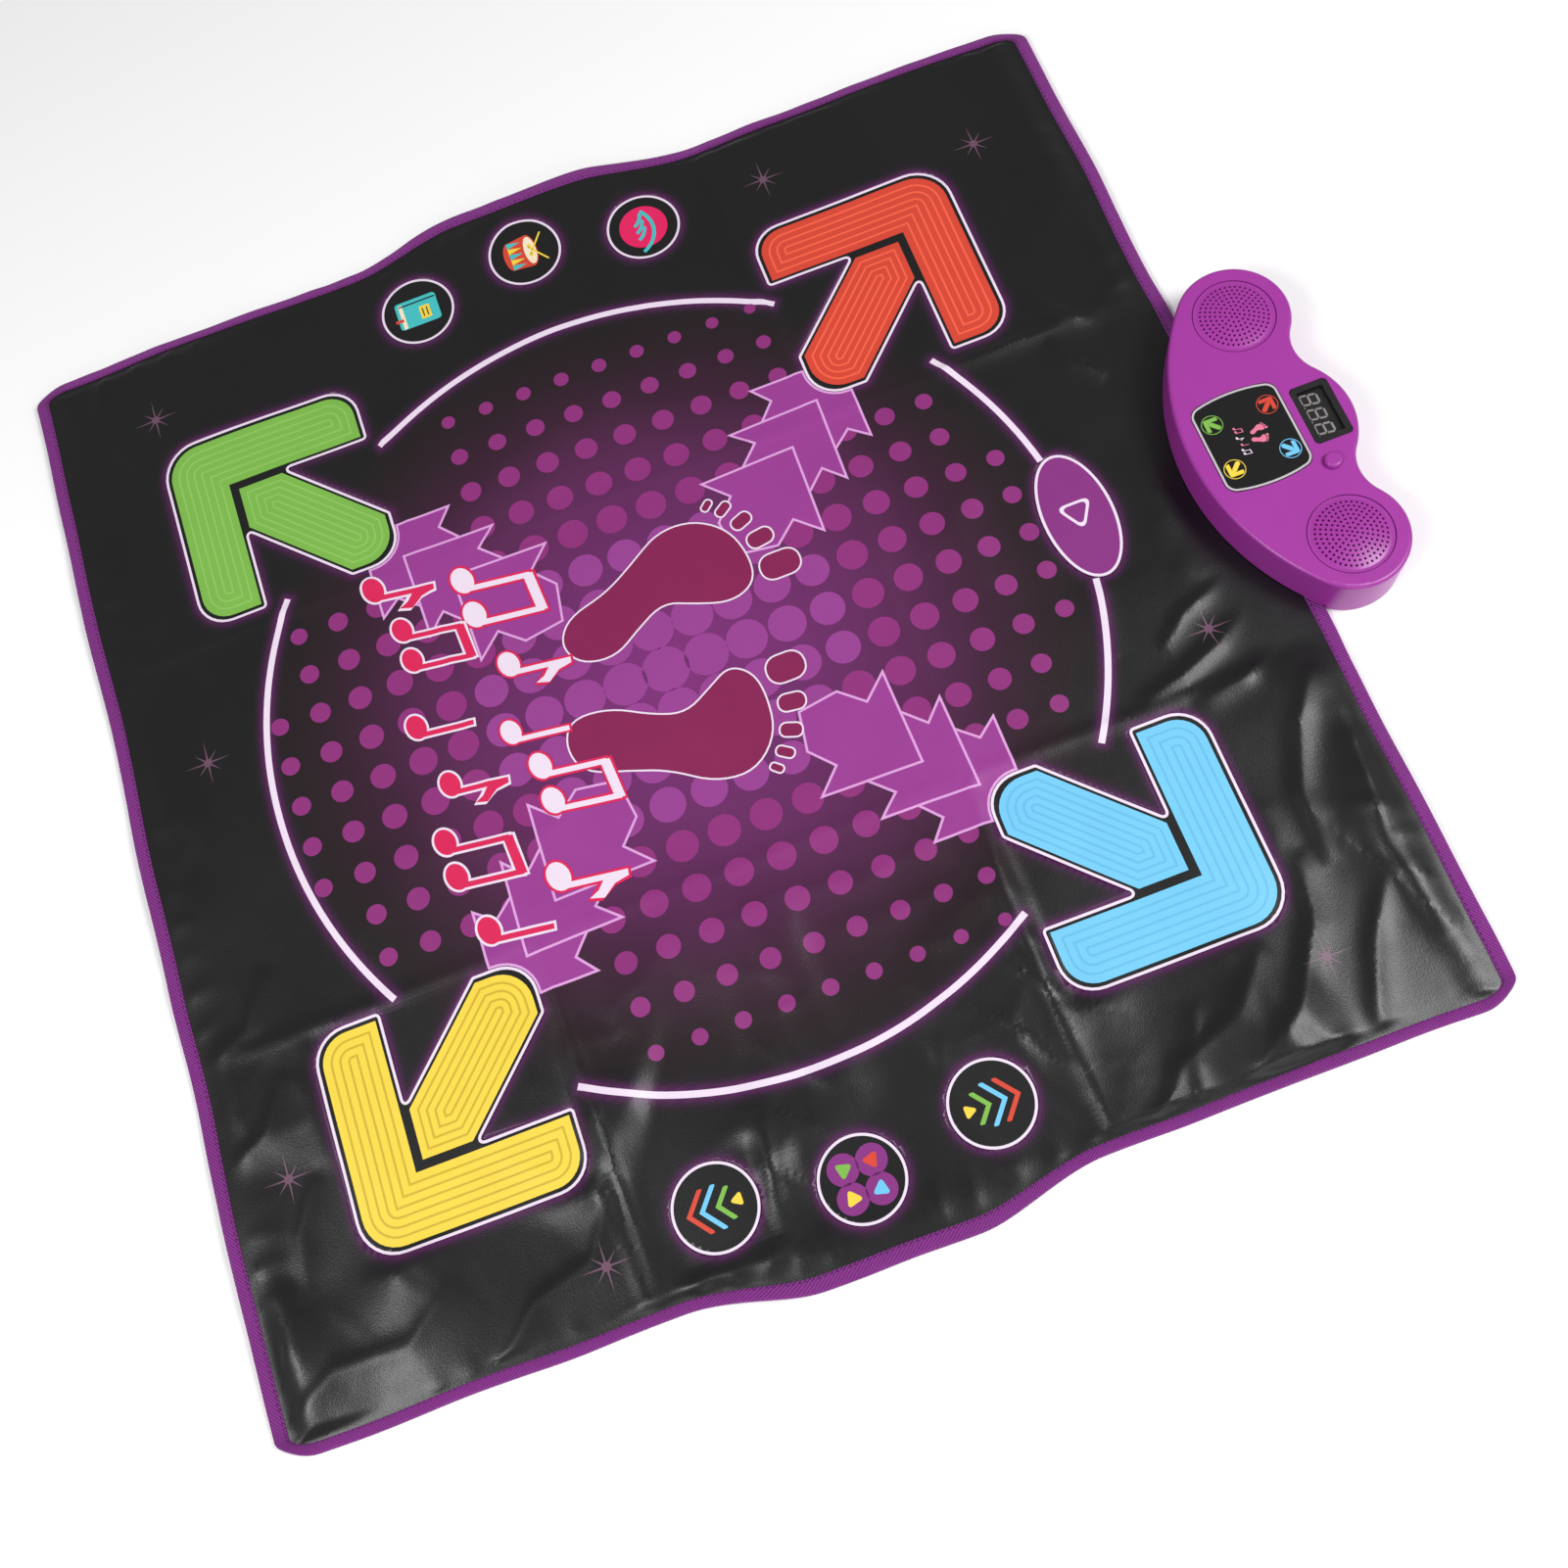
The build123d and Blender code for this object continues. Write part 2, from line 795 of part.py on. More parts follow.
def power_switch_plunger():
    return rod(button_x, button_y, plunger_radius, z_switch_top - plunger_engagement, z_plunger_top)


def power_switch_body():
    body = block(button_x, button_y, switch_size, switch_size, z_board_top, z_switch_top)
    depth = plunger_engagement + button_travel + button_gap
    return body - rod(button_x, button_y, plunger_radius + button_gap, z_switch_top - depth, z_switch_top)


# ---- circuit board ----


def main_circuit_board():
    middle = board_front_y + board_width / 2
    board = Pos(0, middle) * Rectangle(board_length, board_width)
    tab_depth = board_tab_depth
    back = board_front_y + board_width
    board += Pos(0, back + tab_depth / 2) * Rectangle(board_tab_length, tab_depth)
    body = plate(board, z_board, z_board_top)
    for x, y in board_screws_at():
        body -= rod(x, y, board_screw_radius, z_board, z_board_top)
    return body


def board_screws():
    screws = []
    for x, y in board_screws_at():
        head = rod(x, y, board_screw_head_radius, z_board - screw_head_height, z_board)
        screws.append(head + rod(x, y, board_screw_radius, z_board, z_board + board_screw_length))
    return together(screws)


def sound_chip():
    x, setback = chip_place
    return block(x, board_front_y + setback, chip_size, chip_size, z_board_top, z_board_top + chip_height)


def filter_capacitors():
    top = z_board_top + capacitor_height
    return together(
        rod(x, board_front_y + setback, capacitor_radius, z_board_top, top)
        for x, setback in capacitor_places
    )


def membrane_connector():
    low = z_board - connector_height
    body = block(0, tail_y, tail_width + 2 * connector_border, connector_depth, low, z_board)
    slot_top = z_board - connector_height / 2
    return body - block(0, tail_y - tail_thickness / 2, tail_width, tail_thickness, low, slot_top)


# ---- battery bay ----


def cells_at():
    # Row number, place across the bay and direction of each cell: neighbours face opposite ways.
    pitch = 2 * cell_radius + cell_gap
    middle = (cell_count - 1) / 2
    return [(bay_y + (row - middle) * pitch, 1 - 2 * (row % 2)) for row in range(cell_count)]


def along_x(shape, x, y, sign):
    turn = 90 * sign
    return Pos(x, y, cell_z) * Rot(0, turn, 0) * shape


def batteries():
    cells = []
    body_length = cell_length - cell_nub_length
    for y, sign in cells_at():
        start = sign * (contact_thickness + cell_length - bay_length / 2) * -1
        barrel = Pos(0, 0, body_length / 2) * Cylinder(cell_radius, body_length)
        nub = Pos(0, 0, body_length + cell_nub_length / 2) * Cylinder(cell_nub_radius, cell_nub_length)
        cells.append(along_x(barrel + nub, start, y, sign))
    return together(cells)


def contact_springs():
    springs = []
    for y, sign in cells_at():
        wall = -sign * bay_length / 2
        base = Pos(0, 0, contact_thickness / 2) * Box(contact_height, contact_width, contact_thickness)
        reach = spring_length - contact_thickness - 2 * spring_wire_radius
        path = Helix(reach / spring_turns, reach, spring_radius)
        ring = Plane(path @ 0, z_dir=path % 0) * Circle(spring_wire_radius)
        coil = Pos(0, 0, contact_thickness + spring_wire_radius) * sweep(ring, path=path)
        springs.append(along_x(base, wall, y, sign))
        springs.append(along_x(coil, wall, y, sign))
    return together(springs)


def contact_plates():
    plates = []
    for y, sign in cells_at():
        wall = sign * bay_length / 2
        shape = Pos(0, 0, -contact_thickness / 2) * Box(contact_height, contact_width, contact_thickness)
        plates.append(along_x(shape, wall, y, sign))
    return together(plates)


def battery_door():
    body = plate(door_face(0), foot_gap, z_door_top) + tongue_block(0, z_tongue_top)
    return body - rod(door_screw_x, bay_y, door_screw_radius, foot_gap, z_tongue_top)


def battery_door_screw():
    shank = rod(door_screw_x, bay_y, door_screw_radius, foot_gap, foot_gap + door_screw_length)
    head_radius = 2 * door_screw_radius
    z_head = foot_gap - screw_head_height + door_screw_seat
    return shank + rod(door_screw_x, bay_y, head_radius, z_head, foot_gap)


# ---- internal leads ----


def lead(points):
    # A tube on straight runs joined by arcs as large as the runs allow.
    radii = []
    for before, corner, after in zip(points, points[1:], points[2:]):
        run_in = Vector(*corner) - Vector(*before)
        run_out = Vector(*after) - Vector(*corner)
        turn = radians(run_in.get_angle(run_out))
        shorter = min(run_in.length, run_out.length)
        radii.append(lead_bend * shorter / (sin(turn / 2) / cos(turn / 2)))
    print("lead bend radii", [round(radius, 1) for radius in radii])
    path = FilletPolyline(*points, radius=radii)
    section = Plane(path @ 0, z_dir=path % 0) * Circle(lead_radius)
    return sweep(section, path=path)


def speaker_lead(sign):
    reach = basket_base_radius + basket_skin + 2 * lead_radius
    end_z = z_ledge - basket_depth - basket_skin / 2
    x = board_length / 2 - speaker_lead_border
    y = board_front_y + speaker_lead_setback
    z = z_board - speaker_lead_rise
    run_x, run_y, run_z = speaker_lead_run
    points = [
        (x, y, z_board),
        (x, y, z),
        (x + run_x, y + run_y, z - run_z),
        (speaker_x - reach, speaker_y - speaker_lead_lap, end_z),
    ]
    return lead([(sign * x, y, z) for x, y, z in points])


def battery_leads():
    wall = -bay_length / 2 - bay_wall
    corner = wall - battery_lead_reach
    run_x, run_y = battery_lead_run
    leads = []
    for sign in (-1, 1):
        y = bay_y + sign * battery_lead_spacing / 2
        points = [
            (wall, y, cell_z),
            (corner, y, cell_z),
            (corner - run_x, y - run_y, z_board - battery_lead_rise),
            (corner - run_x, y - run_y, z_board),
        ]
        leads.append(lead(points))
    return together(leads)


# ---- all pieces ----

os.makedirs("parts", exist_ok=True)

save("printed_top_sheet", top_sheet())
save("upper_contact_film", upper_film())
save("foam_spacer", foam_spacer())
save("lower_contact_film", lower_film())
save("non_slip_backing", backing())
save("edge_binding", edge_binding())
for pad_name, pad_draw in pads.items():
    save(pad_name, step_pad(pad_draw))
save_console("mat_clamp_bar", clamp_bar())
save_console("mat_clamp_screws", clamp_screws())
save_console("membrane_tail", membrane_tail())

save_console("upper_housing", upper_housing())
save_console("lower_housing", lower_housing())
save_console("housing_screws", housing_screws())
save_console("rubber_feet", rubber_feet())
for side_name, side_sign in sides:
    centre_x = side_sign * speaker_x
    save_console(f"{side_name}_speaker_grille", grille(centre_x))
    save_console(f"{side_name}_speaker_frame", speaker_frame(centre_x))
    save_console(f"{side_name}_speaker_magnet", speaker_magnet(centre_x))
    save_console(f"{side_name}_speaker_cone", speaker_cone(centre_x))
    save_console(f"{side_name}_speaker_lead", speaker_lead(side_sign))
save_console("speaker_screws", speaker_screws())

save_console("display_window", display_window())
save_console("led_display", led_display())
save_console("label_panel", label_panel())
save_console("indicator_leds", indicator_leds())
save_console("power_button_cap", power_button_cap())
save_console("power_switch_plunger", power_switch_plunger())
save_console("power_switch_body", power_switch_body())

save_console("main_circuit_board", main_circuit_board())
save_console("board_screws", board_screws())
save_console("sound_chip", sound_chip())
save_console("filter_capacitors", filter_capacitors())
save_console("membrane_connector", membrane_connector())

save_console("battery_cells", batteries())
save_console("battery_contact_springs", contact_springs())
save_console("battery_contact_plates", contact_plates())
save_console("battery_door", battery_door())
save_console("battery_door_screw", battery_door_screw())
save_console("battery_leads", battery_leads())

print("step pad travel", round(pad_travel, 2), "power button travel", button_travel)
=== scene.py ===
import json
import math

import bmesh
import bpy
import numpy as np
from mathutils import Matrix, Vector, noise
from mathutils.kdtree import KDTree


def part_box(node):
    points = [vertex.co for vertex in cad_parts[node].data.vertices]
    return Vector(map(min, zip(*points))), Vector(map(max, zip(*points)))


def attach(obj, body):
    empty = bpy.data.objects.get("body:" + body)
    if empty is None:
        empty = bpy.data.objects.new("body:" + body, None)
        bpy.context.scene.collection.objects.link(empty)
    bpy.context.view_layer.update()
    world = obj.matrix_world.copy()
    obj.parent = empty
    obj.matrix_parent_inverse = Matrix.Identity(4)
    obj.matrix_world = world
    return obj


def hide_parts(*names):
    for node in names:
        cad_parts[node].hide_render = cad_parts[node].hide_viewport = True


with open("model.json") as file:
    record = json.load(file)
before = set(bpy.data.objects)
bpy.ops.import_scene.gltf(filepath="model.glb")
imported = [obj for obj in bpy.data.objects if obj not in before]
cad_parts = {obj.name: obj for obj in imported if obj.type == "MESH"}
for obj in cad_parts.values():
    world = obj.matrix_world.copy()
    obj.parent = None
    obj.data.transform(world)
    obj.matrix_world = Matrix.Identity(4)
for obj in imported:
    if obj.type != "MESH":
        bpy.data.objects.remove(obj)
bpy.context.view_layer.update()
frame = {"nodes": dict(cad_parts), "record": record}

scene = bpy.context.scene
mm = 0.001
print("frame loaded,", len(frame["nodes"]), "nodes")


# the camera, the floor and the lights

camera = {
    "place": (0.504, 0.027, 1.130),
    "right": (0.3356, 0.9354, -0.1111),
    "down": (0.8846, -0.3535, -0.3041),
    "lens": 37.0,
    "sensor": 36.0,
}
studio = {
    "floor": 6.0,
    "floorTone": 0.98,
    "sky": 0.33,
    "key": {"place": (0.62, 1.60, 2.0), "aim": (0, 0, 0), "size": 0.9, "power": 40},
    "front": {"place": (0.80, -1.55, 2.0), "aim": (0, 0, 0), "size": 0.9, "power": 33},
    "side": {"place": (2.2, 0.2, 0.9), "aim": (0, 0.1, 0), "size": 1.2, "power": 7},
}


def addCamera():
    right = Vector(camera["right"]).normalized()
    up = -Vector(camera["down"])
    up = (up - right * up.dot(right)).normalized()
    back = right.cross(up)
    data = bpy.data.cameras.new("camera")
    data.lens = camera["lens"]
    data.sensor_width = camera["sensor"]
    data.clip_start = 0.05
    eye = bpy.data.objects.new("camera", data)
    scene.collection.objects.link(eye)
    turn = Matrix((right, up, back)).transposed().to_4x4()
    eye.matrix_world = Matrix.Translation(camera["place"]) @ turn
    scene.camera = eye


def addLamp(name, lamp):
    data = bpy.data.lights.new(name, "AREA")
    data.shape = "SQUARE"
    data.size = lamp["size"]
    data.energy = lamp["power"]
    body = bpy.data.objects.new(name, data)
    scene.collection.objects.link(body)
    body.location = lamp["place"]
    aim = Vector(lamp["aim"]) - Vector(lamp["place"])
    body.rotation_euler = aim.to_track_quat("-Z", "Y").to_euler()


def addStudio():
    bm = bmesh.new()
    bmesh.ops.create_grid(bm, x_segments=1, y_segments=1, size=studio["floor"] / 2)
    mesh = bpy.data.meshes.new("floor")
    bm.to_mesh(mesh)
    bm.free()
    floor = bpy.data.objects.new("floor", mesh)
    scene.collection.objects.link(floor)
    material = bpy.data.materials.new("floor")
    material.use_nodes = True
    shader = material.node_tree.nodes["Principled BSDF"]
    tone = studio["floorTone"]
    shader.inputs["Base Color"].default_value = (tone, tone, tone, 1)
    shader.inputs["Roughness"].default_value = 0.9
    mesh.materials.append(material)
    for name in ("key", "front", "side"):
        addLamp(name, studio[name])
    world = bpy.data.worlds.new("studio")
    world.use_nodes = True
    sky = world.node_tree.nodes["Background"]
    sky.inputs["Color"].default_value = (1, 1, 1, 1)
    sky.inputs["Strength"].default_value = studio["sky"]
    scene.world = world
    scene.view_settings.view_transform = "Standard"


addCamera()
addStudio()
print("camera and studio")


# shader groups that several materials share


def paint(red, green, blue):
    # a colour as a paint chart gives it, 0 to 255, turned to the shader's linear values
    def linear(value):
        value = value / 255
        return value / 12.92 if value <= 0.04045 else ((value + 0.055) / 1.055) ** 2.4

    return linear(red), linear(green), linear(blue), 1


def newGroup(name, inputs, outputs):
    group = bpy.data.node_groups.new(name, "ShaderNodeTree")
    for label, value in inputs.items():
        kind = "NodeSocketColor" if isinstance(value, tuple) else "NodeSocketFloat"
        socket = group.interface.new_socket(label, in_out="INPUT", socket_type=kind)
        socket.default_value = value
    for label, kind in outputs.items():
        group.interface.new_socket(label, in_out="OUTPUT", socket_type=kind)
    return group, group.nodes.new("NodeGroupInput"), group.nodes.new("NodeGroupOutput")


def addNode(tree, kind, settings=None, **values):
    # a node with its settings, and its sockets set by name or linked to other sockets
    node = tree.nodes.new(kind)
    for label, value in (settings or {}).items():
        setattr(node, label, value)
    for label, value in values.items():
        place = int(label[1:]) if label[0] == "i" and label[1:].isdigit() else label.replace("_", " ")
        if isinstance(value, bpy.types.NodeSocket):
            tree.links.new(value, node.inputs[place])
        else:
            node.inputs[place].default_value = value
    return node


def mathNode(tree, operation, first, second=0.0, third=0.0):
    node = addNode(tree, "ShaderNodeMath", {"operation": operation}, i0=first, i1=second, i2=third)
    return node.outputs[0]


def rangeNode(tree, value, low, high, newLow, newHigh, smooth=False):
    kind = {"interpolation_type": "SMOOTHSTEP" if smooth else "LINEAR"}
    node = addNode(
        tree, "ShaderNodeMapRange", kind,
        Value=value, From_Min=low, From_Max=high, To_Min=newLow, To_Max=newHigh,
    )
    return node.outputs["Result"]


def mixColour(tree, factor, first, second, blend="MIX"):
    node = addNode(tree, "ShaderNodeMix", {"data_type": "RGBA", "blend_type": blend}, i0=factor, i6=first, i7=second)
    return node.outputs[2]


def makeGrain():
    # fine grain, soft mottling and a little dust, all on Object coordinates
    group, entry, leave = newGroup(
        "grain",
        {"Grain Size": 0.001, "Mottle Size": 0.05, "Mottle": 0.1, "Rough Spread": 0.06},
        {"Height": "NodeSocketFloat", "Tone": "NodeSocketFloat", "Rough": "NodeSocketFloat"},
    )
    place = group.nodes.new("ShaderNodeTexCoord").outputs["Object"]
    fineScale = mathNode(group, "DIVIDE", 1.0, entry.outputs["Grain Size"])
    fine = addNode(group, "ShaderNodeTexNoise", Vector=place, Scale=fineScale, Detail=2.0, Roughness=0.5)
    broadScale = mathNode(group, "DIVIDE", 1.0, entry.outputs["Mottle Size"])
    broad = addNode(group, "ShaderNodeTexNoise", Vector=place, Scale=broadScale, Detail=4.0, Roughness=0.55)
    spread = mathNode(group, "SUBTRACT", broad.outputs["Fac"], 0.5)
    tone = mathNode(group, "MULTIPLY_ADD", spread, entry.outputs["Mottle"], 1.0)
    shift = mathNode(group, "SUBTRACT", fine.outputs["Fac"], 0.5)
    shift = mathNode(group, "MULTIPLY_ADD", spread, 1.5, shift)
    rough = mathNode(group, "MULTIPLY", shift, entry.outputs["Rough Spread"])
    group.links.new(fine.outputs["Fac"], leave.inputs["Height"])
    group.links.new(tone, leave.inputs["Tone"])
    group.links.new(rough, leave.inputs["Rough"])
    return group


def makeTwill():
    # slanted ribs of a woven tape, on the piece's own UV map in metres; its Tone output is painted shade and painted
    # highlight, darker in the grooves between the ribs and lighter on their crests
    group, entry, leave = newGroup(
        "twill",
        {"Pitch": 0.0022, "Thread": 0.0007},
        {"Height": "NodeSocketFloat", "Tone": "NodeSocketFloat"},
    )
    place = group.nodes.new("ShaderNodeUVMap")
    place.uv_map = "UVMap"
    parts = addNode(group, "ShaderNodeSeparateXYZ", Vector=place.outputs["UV"])
    slant = mathNode(group, "MULTIPLY_ADD", parts.outputs["Y"], 1.25, parts.outputs["X"])
    cross = mathNode(group, "MULTIPLY_ADD", parts.outputs["Y"], -0.8, parts.outputs["X"])
    rib = mathNode(group, "DIVIDE", slant, entry.outputs["Pitch"])
    rib = mathNode(group, "SINE", mathNode(group, "MULTIPLY", rib, 2 * math.pi))
    thread = mathNode(group, "DIVIDE", cross, entry.outputs["Thread"])
    thread = mathNode(group, "SINE", mathNode(group, "MULTIPLY", thread, 2 * math.pi))
    height = mathNode(group, "MULTIPLY_ADD", thread, 0.25, rib)
    # painted shade and painted highlight: the colour factor follows the ribs' height, 0.45 in the grooves up to 1.15
    # on the crests
    tone = rangeNode(group, height, -1.1, 0.9, 0.45, 1.15)
    group.links.new(rangeNode(group, height, -1.25, 1.25, 0.0, 1.0), leave.inputs["Height"])
    group.links.new(tone, leave.inputs["Tone"])
    return group


def makeWear():
    # small rubbed streaks and scuffs, stretched one way
    group, entry, leave = newGroup(
        "scuffs",
        {"Size": 0.03, "Amount": 0.5},
        {"Mask": "NodeSocketFloat"},
    )
    place = group.nodes.new("ShaderNodeTexCoord").outputs["Object"]
    turned = addNode(group, "ShaderNodeMapping", Vector=place, Rotation=(0.3, 0.2, 0.7), Scale=(1.0, 5.0, 3.0))
    scale = mathNode(group, "DIVIDE", 1.0, entry.outputs["Size"])
    streaks = addNode(group, "ShaderNodeTexNoise", Vector=turned.outputs[0], Scale=scale, Detail=6.0, Roughness=0.7)
    mask = rangeNode(group, streaks.outputs["Fac"], 0.58, 0.8, 0.0, 1.0, smooth=True)
    group.links.new(mathNode(group, "MULTIPLY", mask, entry.outputs["Amount"]), leave.inputs["Mask"])
    return group


grainGroup = makeGrain()
twillWithPaintedShadeGroup = makeTwill()
scuffGroup = makeWear()
print("shader groups")


# materials


def startMaterial(name):
    material = bpy.data.materials.new(name)
    material.use_nodes = True
    return material, material.node_tree, material.node_tree.nodes["Principled BSDF"]


def useGroup(tree, group, **values):
    node = tree.nodes.new("ShaderNodeGroup")
    node.node_tree = group
    for label, value in values.items():
        node.inputs[label.replace("_", " ")].default_value = value
    return node


def toned(tree, colour, tone):
    # a colour made lighter or darker by a tone over the surface
    grey = addNode(tree, "ShaderNodeCombineColor", Red=tone, Green=tone, Blue=tone)
    return mixColour(tree, 1.0, colour, grey.outputs["Color"], "MULTIPLY")


def bumped(tree, shader, height, depth):
    bump = addNode(tree, "ShaderNodeBump", Height=height, Distance=depth, Strength=1.0)
    tree.links.new(bump.outputs["Normal"], shader.inputs["Normal"])


def solidFinish(name, look):
    # moulded, painted, printed and metal finishes: colour, grain, mottling, scuffs
    material, tree, shader = startMaterial(name)
    grain = useGroup(
        tree, grainGroup,
        Grain_Size=look.get("grainSize", 0.0008), Mottle_Size=look.get("mottleSize", 0.03),
        Mottle=look.get("mottle", 0.12), Rough_Spread=look.get("roughSpread", 0.08),
    )
    colour = toned(tree, look["colour"], grain.outputs["Tone"])
    rough = mathNode(tree, "ADD", grain.outputs["Rough"], look["rough"])
    if "scuff" in look:
        scuff = useGroup(tree, scuffGroup, Size=look.get("scuffSize", 0.02), Amount=look["scuff"])
        worn = tuple(min(1, part * 1.5 + 0.02) for part in look["colour"][:3]) + (1,)
        colour = mixColour(tree, scuff.outputs["Mask"], colour, worn)
        rough = mathNode(tree, "MULTIPLY_ADD", scuff.outputs["Mask"], 0.15, rough)
    tree.links.new(colour, shader.inputs["Base Color"])
    tree.links.new(rough, shader.inputs["Roughness"])
    shader.inputs["Metallic"].default_value = look.get("metal", 0.0)
    shader.inputs["Specular IOR Level"].default_value = look.get("gloss", 0.5)
    shader.inputs["Coat Weight"].default_value = look.get("coat", 0.0)
    shader.inputs["Coat Roughness"].default_value = look.get("coatRough", 0.2)
    if look.get("depth", 0.0) > 0:
        bumped(tree, shader, grain.outputs["Height"], look["depth"])
    return material


def clothFinish(name, look):
    # backing cloth: a plain weave with rubber dots pressed into it
    material, tree, shader = startMaterial(name)
    grain = useGroup(tree, grainGroup, Grain_Size=0.002, Mottle_Size=0.06, Mottle=0.2, Rough_Spread=0.1)
    place = tree.nodes.new("ShaderNodeTexCoord").outputs["Object"]
    weave = addNode(tree, "ShaderNodeTexWave", {"wave_type": "BANDS", "bands_direction": "X"},
                    Vector=place, Scale=look["weave"], Distortion=1.0)
    cross = addNode(tree, "ShaderNodeTexWave", {"wave_type": "BANDS", "bands_direction": "Y"},
                    Vector=place, Scale=look["weave"], Distortion=1.0)
    threads = mathNode(tree, "MULTIPLY", weave.outputs["Fac"], cross.outputs["Fac"])
    dots = addNode(tree, "ShaderNodeTexVoronoi", Vector=place, Scale=look["dots"], Randomness=0.0)
    dot = rangeNode(tree, dots.outputs["Distance"], 0.26, 0.32, 1.0, 0.0, smooth=True)
    colour = toned(tree, look["colour"], grain.outputs["Tone"])
    colour = mixColour(tree, dot, colour, look["dotColour"])
    tree.links.new(colour, shader.inputs["Base Color"])
    tree.links.new(rangeNode(tree, dot, 0.0, 1.0, 0.9, 0.5), shader.inputs["Roughness"])
    bumped(tree, shader, mathNode(tree, "MULTIPLY_ADD", dot, 0.8, threads), look["depth"])
    return material


def vinylFinish(name, look):
    # the printed vinyl: black, with a purple haze in the ring and a glow beside the white lines
    material, tree, shader = startMaterial(name)
    grain = useGroup(tree, grainGroup, Grain_Size=0.0011, Mottle_Size=0.09, Mottle=0.18, Rough_Spread=0.10)
    place = tree.nodes.new("ShaderNodeTexCoord").outputs["Object"]
    centred = addNode(tree, "ShaderNodeMapping", Vector=place, Location=look["hazeCentre"], Scale=(1.0, 1.0, 0.0))
    reach = addNode(tree, "ShaderNodeVectorMath", {"operation": "LENGTH"}, i0=centred.outputs[0])
    cloud = addNode(tree, "ShaderNodeTexNoise", Vector=place, Scale=9.0, Detail=2.0, Roughness=0.4)
    wander = mathNode(tree, "MULTIPLY_ADD", cloud.outputs["Fac"], look["hazeDrift"], reach.outputs["Value"])
    ramp = addNode(tree, "ShaderNodeValToRGB", Fac=rangeNode(tree, wander, 0.0, look["hazeReach"], 0.0, 1.0))
    stops = look["haze"]
    while len(ramp.color_ramp.elements) < len(stops):
        ramp.color_ramp.elements.new(0.5)
    for element, (spot, colour) in zip(ramp.color_ramp.elements, stops):
        element.position = spot
        element.color = colour
    colour = toned(tree, ramp.outputs["Color"], grain.outputs["Tone"])
    glow = addNode(tree, "ShaderNodeAttribute", {"attribute_name": "glow"})
    colour = mixColour(tree, glow.outputs["Fac"], colour, look["glowColour"])
    tree.links.new(colour, shader.inputs["Base Color"])
    rough = mathNode(tree, "ADD", grain.outputs["Rough"], look["rough"])
    tree.links.new(rough, shader.inputs["Roughness"])
    shader.inputs["Specular IOR Level"].default_value = look["gloss"]
    stretched = addNode(tree, "ShaderNodeMapping", Vector=place, Rotation=(0, 0, 0.5), Scale=(1.0, 1.4, 1.0))
    rumple = addNode(tree, "ShaderNodeTexNoise", Vector=stretched.outputs[0], Scale=26.0, Detail=2.0, Roughness=0.5)
    height = mathNode(tree, "MULTIPLY_ADD", rumple.outputs["Fac"], look["rumple"], grain.outputs["Height"])
    bumped(tree, shader, height, look["depth"])
    return material


def tapeFinish(name, look):
    material, tree, shader = startMaterial(name)
    twill = useGroup(tree, twillWithPaintedShadeGroup, Pitch=look["pitch"], Thread=look["thread"])
    grain = useGroup(tree, grainGroup, Grain_Size=0.001, Mottle_Size=0.08, Mottle=0.25, Rough_Spread=0.08)
    # the twill's painted shade in the grooves and painted highlight on the crests, times the grain's random mottling
    tone = mathNode(tree, "MULTIPLY", twill.outputs["Tone"], grain.outputs["Tone"])
    tree.links.new(toned(tree, look["colour"], tone), shader.inputs["Base Color"])
    tree.links.new(mathNode(tree, "ADD", grain.outputs["Rough"], 0.62), shader.inputs["Roughness"])
    shader.inputs["Sheen Weight"].default_value = 0.15
    shader.inputs["Sheen Roughness"].default_value = 0.4
    shader.inputs["Sheen Tint"].default_value = paint(230, 160, 235)
    bumped(tree, shader, twill.outputs["Height"], look["depth"])
    return material


def lensFinish(name, look):
    material, tree, shader = startMaterial(name)
    grain = useGroup(tree, grainGroup, Grain_Size=0.003, Mottle_Size=0.02, Mottle=0.1, Rough_Spread=0.03)
    tree.links.new(toned(tree, look["colour"], grain.outputs["Tone"]), shader.inputs["Base Color"])
    tree.links.new(mathNode(tree, "ADD", grain.outputs["Rough"], look["rough"]), shader.inputs["Roughness"])
    shader.inputs["Transmission Weight"].default_value = 1.0
    shader.inputs["IOR"].default_value = 1.3
    return material


